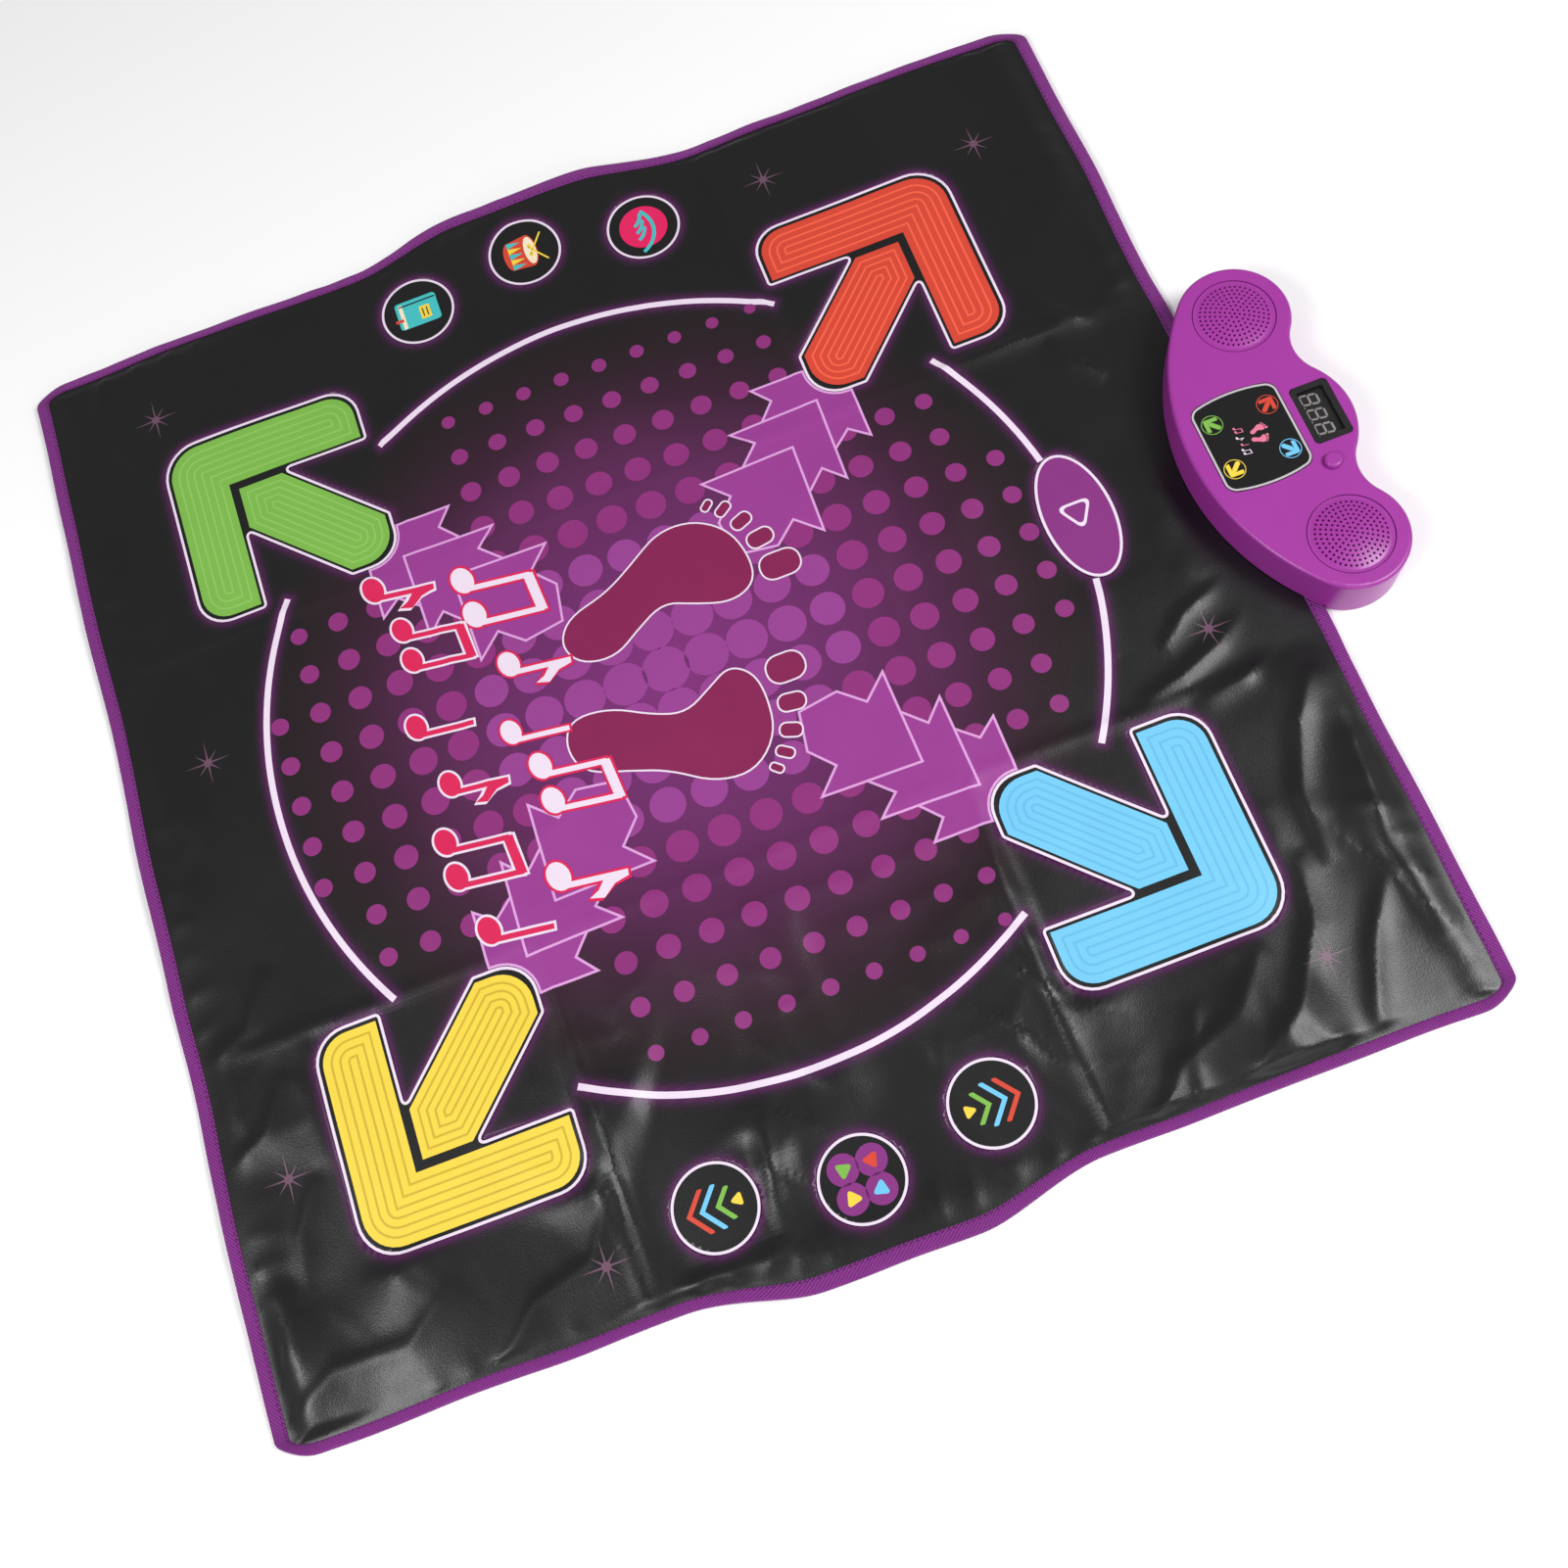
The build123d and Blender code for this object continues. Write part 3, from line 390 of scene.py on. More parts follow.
vinylLook = {
    "rough": 0.36, "gloss": 0.5, "depth": 0.00012, "rumple": 2.5,
    "hazeCentre": (0.0, 0.015, 0.0), "hazeReach": 0.36, "hazeDrift": 0.03,
    "haze": [
        (0.0, paint(126, 42, 118)), (0.28, paint(108, 36, 102)), (0.55, paint(84, 28, 76)),
        (0.70, paint(54, 17, 45)), (0.82, paint(33, 13, 24)), (0.93, paint(15, 13, 14)), (1.0, paint(12, 12, 13)),
    ],
    "glowColour": paint(112, 26, 112),
}
inkLook = {"rough": 0.42, "grainSize": 0.0011, "mottleSize": 0.05, "mottle": 0.10, "depth": 0.00006}
inks = {
    "whiteInk": paint(232, 216, 234),
    "dotInk": paint(138, 40, 118),
    "brightDotInk": paint(146, 58, 140),
    "ribbonInk": paint(149, 54, 142),
    "ribbonEdgeInk": paint(216, 156, 214),
    "footInk": paint(129, 20, 78),
    "starInk": paint(104, 70, 92),
    "redInk": paint(210, 66, 46),
    "redRibInk": paint(244, 96, 66),
    "blueInk": paint(110, 195, 236),
    "blueRibInk": paint(98, 181, 222),
    "greenInk": paint(122, 181, 72),
    "greenRibInk": paint(138, 194, 92),
    "yellowInk": paint(238, 208, 66),
    "yellowRibInk": paint(204, 172, 44),
    "purpleInk": paint(132, 42, 126),
    "noteRedInk": paint(214, 26, 84),
    "pinkInk": paint(224, 24, 94),
    "tealInk": paint(64, 188, 190),
    "creamInk": paint(244, 228, 196),
    "blackInk": paint(14, 13, 15),
}
skinLook = {"colour": paint(12, 12, 13), "rough": 0.36, "grainSize": 0.0011, "mottleSize": 0.09,
            "mottle": 0.18, "depth": 0.00008}
slotLooks = {
    "printed_vinyl": skinLook,
    "red_print": dict(inkLook, colour=inks["redInk"]),
    "blue_print": dict(inkLook, colour=inks["blueInk"]),
    "green_print": dict(inkLook, colour=inks["greenInk"]),
    "yellow_print": dict(inkLook, colour=inks["yellowInk"]),
    "purple_print": dict(inkLook, colour=inks["purpleInk"]),
    "contact_film": {"colour": paint(205, 205, 200), "rough": 0.3, "depth": 0.00002},
    "foam": {"colour": paint(232, 230, 224), "rough": 0.85, "grainSize": 0.0015, "depth": 0.0003},
    "purple_abs": {"colour": paint(158, 50, 154), "rough": 0.32, "gloss": 0.5, "grainSize": 0.0007,
                   "mottleSize": 0.04, "mottle": 0.06, "depth": 0.00004, "scuff": 0.10, "scuffSize": 0.012},
    "base_abs": {"colour": paint(148, 44, 144), "rough": 0.42, "grainSize": 0.0009, "depth": 0.00005},
    "black_plastic": {"colour": paint(16, 16, 17), "rough": 0.4, "depth": 0.00004},
    "white_plastic": {"colour": paint(226, 224, 216), "rough": 0.35, "depth": 0.00003},
    "label_print": {"colour": paint(10, 9, 12), "rough": 0.16, "gloss": 0.5, "coat": 0.3, "coatRough": 0.05,
                    "mottle": 0.1, "scuff": 0.05},
    "led_lens": {"colour": paint(236, 232, 220), "rough": 0.2, "coat": 0.5, "depth": 0.00001},
    "screw_steel": {"colour": paint(176, 176, 180), "rough": 0.32, "metal": 1.0, "scuff": 0.3, "depth": 0.00002},
    "contact_metal": {"colour": paint(196, 194, 186), "rough": 0.28, "metal": 1.0, "scuff": 0.2},
    "speaker_steel": {"colour": paint(150, 152, 156), "rough": 0.38, "metal": 1.0, "depth": 0.00002},
    "magnet": {"colour": paint(44, 42, 42), "rough": 0.6, "depth": 0.00008},
    "cone_paper": {"colour": paint(28, 26, 26), "rough": 0.85, "grainSize": 0.0012, "depth": 0.0001},
    "circuit_board": {"colour": paint(24, 92, 50), "rough": 0.3, "mottleSize": 0.006, "mottle": 0.5, "coat": 0.4},
    "foot_rubber": {"colour": paint(36, 36, 38), "rough": 0.75, "depth": 0.00008},
    "cell_jacket": {"colour": paint(32, 40, 60), "rough": 0.3, "mottle": 0.2, "coat": 0.3},
    "lead_wire": {"colour": paint(150, 28, 24), "rough": 0.4, "depth": 0.00003},
}
tapeLook = {"colour": paint(138, 36, 142), "pitch": 0.0032, "thread": 0.0010, "depth": 0.0007}
clothLook = {"colour": paint(52, 50, 54), "dotColour": paint(30, 29, 31), "weave": 260.0, "dots": 170.0,
             "depth": 0.0004}
threadLook = {"colour": paint(58, 18, 66), "rough": 0.7, "grainSize": 0.0004, "depth": 0.0001}
ink = {name: solidFinish(name, dict(inkLook, colour=colour)) for name, colour in inks.items()}
finish = {slot: solidFinish(slot, look) for slot, look in slotLooks.items()}
finish["top_vinyl"] = vinylFinish("top_vinyl", vinylLook)
finish["pad_skin"] = solidFinish("pad_skin", skinLook)
finish["binding_tape"] = tapeFinish("binding_tape", tapeLook)
finish["non_slip_cloth"] = clothFinish("non_slip_cloth", clothLook)
finish["smoked_lens"] = lensFinish("smoked_lens", {"colour": paint(238, 238, 240), "rough": 0.05})
print(len(ink) + len(finish), "materials")


# CAD nodes keep their shapes and take these finishes

slotOf = {row["node"]: row["material_slot"] for row in frame["record"]["subparts"]}
for node in frame["nodes"].values():
    for place in range(len(node.data.materials)):
        node.data.materials[place] = finish[slotOf[node.name]]
print("finishes on", len(slotOf), "CAD nodes")


# how the mat lies: a height and a slide for every point of the flat cut

bindLow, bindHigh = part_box("edge_binding")
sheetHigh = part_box("printed_top_sheet")[1]
consoleLow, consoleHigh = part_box("upper_housing")
lay = {
    "cell": 0.004,
    "reachX": 0.472,
    "reachY": 0.456,
    "pullIn": 0.018,         # the outer thirds lie this much further in than the middle one
    "pullFrom": 0.420,
    "bulgeMiddle": -0.007,
    "bulgeHalf": 0.055,
    "bulgeEnd": 0.150,
    "edgeWave": 0.0022,
    "quiet": 0.013,          # wrinkles die out this near the binding
}
# ridges left by folding and packing: path in millimetres, height, width of each flank
ridges = [
    ([(-452, 150), (-330, 152), (-250, 156), (-165, 158)], 2.2, 7, 4),
    ([(-165, 158), (-60, 160), (60, 157), (164, 158)], 1.1, 7, 5),
    ([(164, 158), (260, 150), (340, 153), (455, 157)], 2.6, 9, 5),
    ([(-455, -178), (-300, -176), (-161, -177)], 1.3, 6, 4),
    ([(-161, -177), (0, -176), (164, -178)], 1.2, 7, 4),
    ([(164, -178), (300, -172), (455, -170)], 2.4, 7, 4),
    ([(200, -196), (320, -190), (455, -176)], 1.6, 6, 4),
    ([(-161, 440), (-160, 300), (-158, 160), (-161, 0), (-160, -177)], 1.2, 6, 5),
    ([(-160, -177), (-163, -300), (-161, -440)], 1.4, 5, 5),
    ([(164, 440), (166, 300), (163, 158)], 2.2, 8, 5),
    ([(163, 158), (166, 0), (164, -177)], 1.2, 6, 5),
    ([(164, -177), (168, -300), (165, -440)], 1.8, 6, 6),
    ([(118, 396), (136, 366), (150, 330), (158, 296)], 4.6, 9, 5),
    ([(150, 410), (168, 372), (174, 330)], 4.2, 8, 5),
    ([(90, 390), (104, 352), (126, 326)], 3.2, 8, 4),
    ([(176, 420), (214, 392), (262, 372), (320, 368)], 4.0, 12, 6),
    ([(196, 440), (250, 420), (318, 408), (392, 420)], 3.6, 12, 7),
    ([(300, 352), (352, 338), (400, 306), (432, 262)], 4.2, 12, 7),
    ([(330, 404), (376, 372), (420, 352), (452, 350)], 3.4, 10, 6),
    ([(352, 300), (392, 262), (410, 214), (448, 184)], 3.8, 12, 6),
    ([(372, 240), (418, 222), (455, 220)], 2.8, 9, 5),
    ([(-150, 400), (-166, 372), (-200, 352)], 4.4, 9, 4),
    ([(-104, 384), (-126, 362), (-150, 352)], 3.8, 8, 4),
    ([(-162, 408), (-160, 330), (-159, 250)], 3.0, 8, 4),
    ([(-170, 430), (-214, 424), (-270, 430)], 1.4, 8, 6),
    ([(168, -196), (204, -216), (232, -206)], 2.0, 7, 4),
    ([(352, -180), (392, -206), (404, -250), (440, -286)], 3.2, 12, 6),
    ([(372, -300), (402, -340), (400, -392), (424, -436)], 3.0, 12, 7),
    ([(190, -380), (230, -402), (246, -444)], 2.8, 10, 6),
    ([(110, -376), (150, -398), (168, -440)], 2.4, 9, 6),
    ([(268, -376), (304, -396), (350, -402)], 2.2, 10, 6),
    ([(-60, -398), (-8, -406), (40, -440)], 1.6, 10, 7),
    ([(-330, -372), (-378, -388), (-430, -392)], 1.4, 10, 7),
    ([(-380, 60), (-420, 70), (-455, 88)], 1.6, 9, 6),
    ([(-370, -150), (-416, -140), (-455, -120)], 1.6, 9, 6),
    ([(330, 66), (372, 62), (420, 74), (458, 96)], 2.6, 10, 6),
    ([(340, -66), (372, -70), (424, -84), (458, -98)], 2.8, 10, 6),
    ([(200, 130), (208, 60), (196, 0), (206, -60)], 1.6, 12, 8),
    ([(232, 132), (240, 70), (232, 20)], 1.2, 10, 8),
    ([(40, 320), (74, 300), (120, 296)], 1.2, 9, 6),
    ([(60, -90), (90, -150), (80, -210), (64, -260)], 1.0, 10, 7),
    ([(-60, 230), (-20, 222), (30, 232)], 0.9, 10, 8),
]
# fine crumpling: heights in metres, then each set of facets as height and (size x, size y, turn, seed)
crumple = {
    "facets": [(0.0062, (0.080, 0.052, 0.6, 5)), (0.0026, (0.042, 0.027, -0.5, 9))],
    "veins": 0.0012,
    "billow": 0.0011,
    "pucker": 0.0011,        # small waves beside the binding
    "puckerPitch": 0.026,
    "calmSide": 0.16,        # share of the crumpling left on the smooth side
    "onPads": 0.22,          # and on the step pads
}
# soft swells: middle, half lengths along x and y, height
swells = [
    ((-410, 300), (90, 70), 5.0), ((-400, -300), (90, 80), 4.5), ((420, 300), (80, 90), 6.5),
    ((410, -320), (90, 70), 6.0), ((300, 425), (80, 40), 5.0), ((-290, 420), (80, 40), 3.2),
    ((40, -430), (110, 40), 3.6), ((300, -430), (80, 36), 4.6), ((-250, -430), (90, 36), 3.0),
    ((455, 0), (50, 110), 6.0), ((-455, 0), (46, 100), 4.6), ((200, -30), (60, 120), 2.4),
    ((190, 400), (50, 50), 5.0), ((0, 220), (130, 50), 1.6), ((-60, -330), (120, 50), 2.0),
]


def eased(value, low, high):
    t = np.clip((value - low) / (high - low), 0.0, 1.0)
    return t * t * (3 - 2 * t)


def ridgeHeight(x, y, path, height, nearWidth, farWidth):
    # one crest along a path: it fades at both ends and falls off unevenly to its two sides
    points = [Vector(point) * mm for point in path]
    lengths = [(b - a).length for a, b in zip(points, points[1:])]
    total = sum(lengths)
    best = np.full(x.shape, 1e9)
    crest = np.zeros(x.shape)
    run = 0.0
    for a, b, length in zip(points, points[1:], lengths):
        ux, uy = (b.x - a.x) / length, (b.y - a.y) / length
        along = np.clip((x - a.x) * ux + (y - a.y) * uy, 0.0, length)
        offX, offY = x - a.x - along * ux, y - a.y - along * uy
        away = np.hypot(offX, offY)
        side = offX * -uy + offY * ux
        width = np.where(side > 0, nearWidth, farWidth) * mm
        share = (run + along) / total
        fade = np.sin(np.pi * np.clip(share, 0.0, 1.0)) ** 0.45
        shape = np.exp(-((away / width) ** 1.4)) * fade
        crest = np.where(away < best, shape, crest)
        best = np.minimum(best, away)
        run += length
    return crest * height * mm


def noiseSheet(x, y, scaleX, scaleY, turn, seed):
    # mathutils noise on every point of the cut, from -1 to 1
    c, s = math.cos(turn), math.sin(turn)
    values = np.empty(x.shape)
    for index in np.ndindex(x.shape):
        px, py = x[index], y[index]
        place = ((px * c + py * s) / scaleX, (py * c - px * s) / scaleY, seed)
        values[index] = noise.noise(place)
    return values


def ridgedNoise(x, y, scaleX, scaleY, turn, seed):
    bend = 0.02 * noiseSheet(x, y, 0.11, 0.11, 0.0, seed + 7.3)
    return (1.0 - np.abs(noiseSheet(x + bend, y - bend, scaleX, scaleY, turn, seed)) * 2.2).clip(0.0, 1.0)


def boxDistance(x, y, centreX, centreY, halfX, halfY):
    return np.hypot(np.maximum(np.abs(x - centreX) - halfX, 0), np.maximum(np.abs(y - centreY) - halfY, 0))


def padPlaces():
    return {name: ((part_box(name)[0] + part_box(name)[1]) / 2, (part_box(name)[1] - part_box(name)[0]) / 2)
            for name in frame["nodes"] if "_pad_" in name or name == "start_pad"}


pads = padPlaces()


def facets(x, y, sizeX, sizeY, turn, seed):
    # crumpled film: random heights joined by flat triangles, on a grid that wanders a little
    heights = np.random.default_rng(seed).random((96, 96))
    cos, sin = math.cos(turn), math.sin(turn)
    u = (x * cos + y * sin) / sizeX + 48 + 0.5 * noiseSheet(x, y, sizeX * 2, sizeX * 2, 0.0, seed)
    v = (y * cos - x * sin) / sizeY + 48 + 0.5 * noiseSheet(x, y, sizeY * 2, sizeY * 2, 0.0, seed + 5)
    i, j = np.floor(u).astype(int), np.floor(v).astype(int)
    a, b = u - i, v - j
    near, far = heights[i, j], heights[i + 1, j + 1]
    side, back = heights[i + 1, j], heights[i, j + 1]
    lower = near + a * (side - near) + b * (back - near)
    upper = far + (1 - a) * (back - far) + (1 - b) * (side - far)
    return np.where(a + b < 1, lower, upper)


def layMat():
    cell = lay["cell"]
    countX = round(2 * lay["reachX"] / cell) + 1
    countY = round(2 * lay["reachY"] / cell) + 1
    x, y = np.meshgrid(np.arange(countX) * cell - lay["reachX"], np.arange(countY) * cell - lay["reachY"],
                       indexing="ij")
    edge = np.minimum(bindHigh.x - np.abs(x), bindHigh.y - np.abs(y))
    consoleMiddle, consoleHalf = (consoleLow.x + consoleHigh.x) / 2, (consoleHigh.x - consoleLow.x) / 2
    underConsole = boxDistance(x, y, consoleMiddle, 0.46, consoleHalf, 0.055)
    clear = eased(underConsole, 0.004, 0.040)

    soft = np.zeros(x.shape)
    for (centreX, centreY), (halfX, halfY), height in swells:
        reach = np.hypot((x - centreX * mm) / (halfX * mm), (y - centreY * mm) / (halfY * mm))
        soft += height * mm * np.exp(-1.6 * reach * reach)
    soft += crumple["billow"] * eased(noiseSheet(x, y, 0.16, 0.13, 0.3, 2.0), -0.3, 0.6)
    soft *= clear

    crisp = np.zeros(x.shape)
    for path, height, nearWidth, farWidth in ridges:
        crest = ridgeHeight(x, y, path, height, nearWidth, farWidth)
        crisp = np.maximum(crisp, crest) * 0.75 + 0.25 * (crisp + crest)
    busy = crumple["calmSide"] + (1 - crumple["calmSide"]) * eased(x, 0.10, 0.30)
    busy = np.maximum(busy, 0.75 * eased(0.09 - edge, 0.0, 0.08))
    busy = np.maximum(busy, 0.8 * eased(0.07 - underConsole, 0.0, 0.05) * eased(x, -0.10, 0.10))
    folds = sum(height * facets(x, y, *layout) for height, layout in crumple["facets"])
    folds += crumple["veins"] * ridgedNoise(x, y, 0.085, 0.038, 0.75, 4.1) ** 3
    patches = eased(noiseSheet(x, y, 0.12, 0.10, 0.0, 21.0), -0.25, 0.35)
    crisp += folds * busy * patches

    calm = np.ones(x.shape)
    for middle, half in pads.values():
        reach = boxDistance(x, y, middle.x, middle.y, half.x * 0.93, half.y * 0.93)
        rise = (1 - crumple["onPads"]) * eased(reach, 0.0, 0.018)
        calm = np.minimum(calm, crumple["onPads"] + rise)
    crisp *= calm * clear * eased(edge, lay["quiet"] * 0.8, lay["quiet"] * 2.6)

    pucker = eased(edge, 0.010, 0.020) * (1 - eased(edge, 0.022, 0.050))
    around = np.where(np.abs(y) * 1.03 > np.abs(x), x, y)
    wander = 3 * noiseSheet(x, y, 0.09, 0.09, 0.0, 31.0)
    ripple = 0.5 + 0.5 * np.sin(around * 2 * np.pi / crumple["puckerPitch"] + wander)
    here = eased(noiseSheet(x, y, 0.07, 0.07, 0.0, 33.0), -0.2, 0.4)
    crisp += crumple["pucker"] * ripple ** 2 * pucker * clear * here

    bulge = 1 - eased(np.abs(y - lay["bulgeMiddle"]), lay["bulgeHalf"], lay["bulgeEnd"])
    slideX = -lay["pullIn"] * (1 - bulge) * np.sign(x) * eased(np.abs(x), lay["pullFrom"], bindHigh.x)
    slideX += lay["edgeWave"] * noiseSheet(x, y, 0.10, 0.07, 0.0, 41.0) * eased(np.abs(x), 0.40, 0.46)
    slideY = lay["edgeWave"] * 0.8 * noiseSheet(x, y, 0.08, 0.10, 0.0, 43.0) * eased(np.abs(y), 0.40, 0.45) * clear
    slideY -= 0.0015 * np.sign(y) * eased(np.abs(y), 0.40, 0.45) * clear
    return {"soft": soft, "top": soft + crisp, "slideX": slideX, "slideY": slideY}


field = layMat()
print("the mat's lie, highest", round(float(field["top"].max()) * 1000, 1), "mm")


def sampled(name, x, y):
    # flat triangles between the points of the field, so that a print lies exactly on the sheet under it
    cell = lay["cell"]
    u = (np.asarray(x) + lay["reachX"]) / cell
    v = (np.asarray(y) + lay["reachY"]) / cell
    values = field[name]
    i = np.clip(np.floor(u).astype(int), 0, values.shape[0] - 2)
    j = np.clip(np.floor(v).astype(int), 0, values.shape[1] - 2)
    u, v = u - i, v - j
    low, high = values[i, j], values[i + 1, j + 1]
    right, up = values[i + 1, j], values[i, j + 1]
    near = low + (right - low) * u + (up - low) * v
    far = high + (up - high) * (1 - u) + (right - high) * (1 - v)
    return np.where(u + v < 1, near, far)


def layMesh(mesh, level, height="top"):
    count = len(mesh.vertices)
    co = np.empty(count * 3, np.float32)
    mesh.vertices.foreach_get("co", co)
    co = co.reshape(-1, 3).astype(float)
    x, y = co[:, 0].copy(), co[:, 1].copy()
    co[:, 0] += sampled("slideX", x, y)
    co[:, 1] += sampled("slideY", x, y)
    co[:, 2] += sampled(height, x, y) + level
    mesh.vertices.foreach_set("co", co.astype(np.float32).ravel())
    mesh.update()


def splitAt(bm, faces, normal, spacing, low, high):
    # cuts faces on every line of a set of parallel ones, middle line first
    if high < low or not faces:
        return
    middle = (low + high) // 2
    offset = middle * spacing
    geometry = list({v for f in faces for v in f.verts}) + list({e for f in faces for e in f.edges}) + faces
    cut = bmesh.ops.bisect_plane(bm, geom=geometry, dist=1e-7, plane_co=normal * offset / normal.length_squared,
                                 plane_no=normal)
    below, above = [], []
    for face in cut["geom"]:
        if isinstance(face, bmesh.types.BMFace):
            (below if face.calc_center_median().dot(normal) < offset else above).append(face)
    splitAt(bm, below, normal, spacing, low, middle - 1)
    splitAt(bm, above, normal, spacing, middle + 1, high)


def cutOnField(bm, every=1):
    # lines along x, along y and on the slant, where the field's triangles meet
    spacing = lay["cell"] * every
    for normal in (Vector((1, 0, 0)), Vector((0, 1, 0)), Vector((1, 1, 0))):
        reach = [v.co.dot(normal) for v in bm.verts]
        low, high = math.floor(min(reach) / spacing) + 1, math.ceil(max(reach) / spacing) - 1
        splitAt(bm, list(bm.faces), normal, spacing, low, high)


def addPiece(name, bm, materials, slot, body="mat_and_console", level=None, height="top", glowing=False):
    mesh = bpy.data.meshes.new(name)
    bm.to_mesh(mesh)
    bm.free()
    if glowing:
        glowAt(mesh)
    if level is not None:
        layMesh(mesh, level, height)
    for material in materials:
        mesh.materials.append(material)
    piece = bpy.data.objects.new(name, mesh)
    scene.collection.objects.link(piece)
    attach(piece, body)
    return piece


# flat shapes in millimetres, from which sheets and prints are cut


def cornered(points, rounds=None, segments=8):
    # a face with the corners given, some of them rounded
    bm = bmesh.new()
    corners = [bm.verts.new((x * mm, y * mm, 0)) for x, y in points]
    bm.faces.new(corners)
    byRadius = {}
    for index, radius in (rounds or {}).items():
        before = (corners[index - 1].co - corners[index].co).normalized()
        after = (corners[(index + 1) % len(corners)].co - corners[index].co).normalized()
        reach = radius * mm / math.tan(before.angle(after) / 2)
        byRadius.setdefault(round(reach, 6), []).append(corners[index])
    for reach, picked in byRadius.items():
        bmesh.ops.bevel(bm, geom=picked, offset=reach, offset_type="OFFSET", affect="VERTICES",
                        segments=segments, profile=0.5, material=-1)
    bmesh.ops.recalc_face_normals(bm, faces=bm.faces)
    if bm.faces and sum(f.normal.z for f in bm.faces) < 0:
        bmesh.ops.reverse_faces(bm, faces=bm.faces)
    return bm


def slab(length, width, radius=0.0, segments=5):
    x, y = length / 2, width / 2
    rounds = {index: radius for index in range(4)} if radius else None
    return cornered([(-x, -y), (x, -y), (x, y), (-x, y)], rounds, segments)


def disc(radiusX, radiusY=None, segments=40):
    bm = bmesh.new()
    bmesh.ops.create_circle(bm, cap_ends=True, segments=segments, radius=radiusX * mm)
    bmesh.ops.scale(bm, vec=(1, (radiusY or radiusX) / radiusX, 1), verts=bm.verts)
    return bm


def band(radius, width, start, end, segments=60, stretch=1.0):
    # part of a ring, from one angle to another in degrees
    bm = bmesh.new()
    inner = bm.verts.new(((radius - width / 2) * mm, 0, 0))
    outer = bm.verts.new(((radius + width / 2) * mm, 0, 0))
    edge = bm.edges.new((inner, outer))
    bmesh.ops.rotate(bm, cent=(0, 0, 0), matrix=Matrix.Rotation(math.radians(start), 3, "Z"), verts=bm.verts)
    bmesh.ops.spin(bm, geom=[inner, outer, edge], cent=(0, 0, 0), axis=(0, 0, 1),
                   angle=math.radians(end - start), steps=segments, use_merge=end - start >= 360)
    bmesh.ops.scale(bm, vec=(1, stretch, 1), verts=bm.verts)
    faceUp(bm)
    return bm


def faceUp(bm):
    bm.normal_update()
    down = [face for face in bm.faces if face.normal.z < 0]
    if down:
        bmesh.ops.reverse_faces(bm, faces=down)


def lineAlong(bm, width, inset=0.0):
    # keeps only a line inside the edge of each face
    for face in list(bm.faces):
        if inset > 0:
            waste = bmesh.ops.inset_individual(bm, faces=[face], thickness=inset * mm, use_even_offset=True)
            bmesh.ops.delete(bm, geom=waste["faces"], context="FACES")
        bmesh.ops.inset_individual(bm, faces=[face], thickness=width * mm, use_even_offset=True)
        bmesh.ops.delete(bm, geom=[face], context="FACES_ONLY")
    return bm


def placed(bm, x=0.0, y=0.0, turn=0.0, size=1.0):
    bmesh.ops.scale(bm, vec=(size, size, 1), verts=bm.verts)
    bmesh.ops.rotate(bm, cent=(0, 0, 0), matrix=Matrix.Rotation(math.radians(turn), 3, "Z"), verts=bm.verts)
    bmesh.ops.translate(bm, vec=(x * mm, y * mm, 0), verts=bm.verts)
    faceUp(bm)
    return bm


def smoothShape(points):
    # a closed flat curve through loose control points, made a mesh
    curve = bpy.data.curves.new("outline", "CURVE")
    curve.dimensions = "2D"
    curve.fill_mode = "BOTH"
    curve.resolution_u = 5
    spline = curve.splines.new("NURBS")
    spline.points.add(len(points) - 1)
    for point, (x, y) in zip(spline.points, points):
        point.co = (x * mm, y * mm, 0, 1)
    spline.order_u = 3
    spline.use_cyclic_u = True
    holder = bpy.data.objects.new("outline", curve)
    mesh = bpy.data.meshes.new_from_object(holder)
    bm = bmesh.new()
    bm.from_mesh(mesh)
    bmesh.ops.remove_doubles(bm, verts=bm.verts, dist=1e-5)
    inner = [edge for edge in bm.edges if len(edge.link_faces) == 2]
    bmesh.ops.dissolve_limit(bm, angle_limit=0.02, verts=bm.verts, edges=inner)
    bpy.data.objects.remove(holder)
    bpy.data.curves.remove(curve)
    bpy.data.meshes.remove(mesh)
    faceUp(bm)
    return bm


inkRise = 0.00005        # each ink lies this much above the one under it
labelRise = 0.000025     # the same on the console's label and display


def joinShape(bm, shape):
    # adds a shape to a mesh in the making and frees it
    mesh = bpy.data.meshes.new("part")
    shape.to_mesh(mesh)
    shape.free()
    bm.from_mesh(mesh)
    bpy.data.meshes.remove(mesh)


class Print:
    # prints of several inks on one surface, collected into one mesh
    def __init__(self):
        self.bm = bmesh.new()
        self.inks = []

    def add(self, shape, name, layer=1):
        if name not in self.inks:
            self.inks.append(name)
        for face in shape.faces:
            face.material_index = self.inks.index(name)
            face.smooth = True
        bmesh.ops.translate(shape, vec=(0, 0, layer * inkRise), verts=shape.verts)
        cutOnField(shape)
        joinShape(self.bm, shape)

    def finish(self, name, slot, body, level):
        return addPiece(name, self.bm, [ink[inkName] for inkName in self.inks], slot, body, level)


# the step pads' outlines

arrow = {"half": 84.8, "bar": 54.5, "stem": 61.0, "tip": 31.0, "end": 26.0, "line": 2.1,
         "ink": 79.9, "inkInner": 34.6, "inkStem": 27.6, "inkStemSide": 37.4, "headRibs": 3, "stemRibs": 4,
         "ribWidth": 1.6}
padTurns = {"arrow_pad_back_right": 0, "arrow_pad_back_left": 90, "arrow_pad_front_left": 180,
            "arrow_pad_front_right": 270}
arrowInks = {"arrow_pad_back_right": "blue", "arrow_pad_back_left": "red", "arrow_pad_front_left": "green",
             "arrow_pad_front_right": "yellow"}


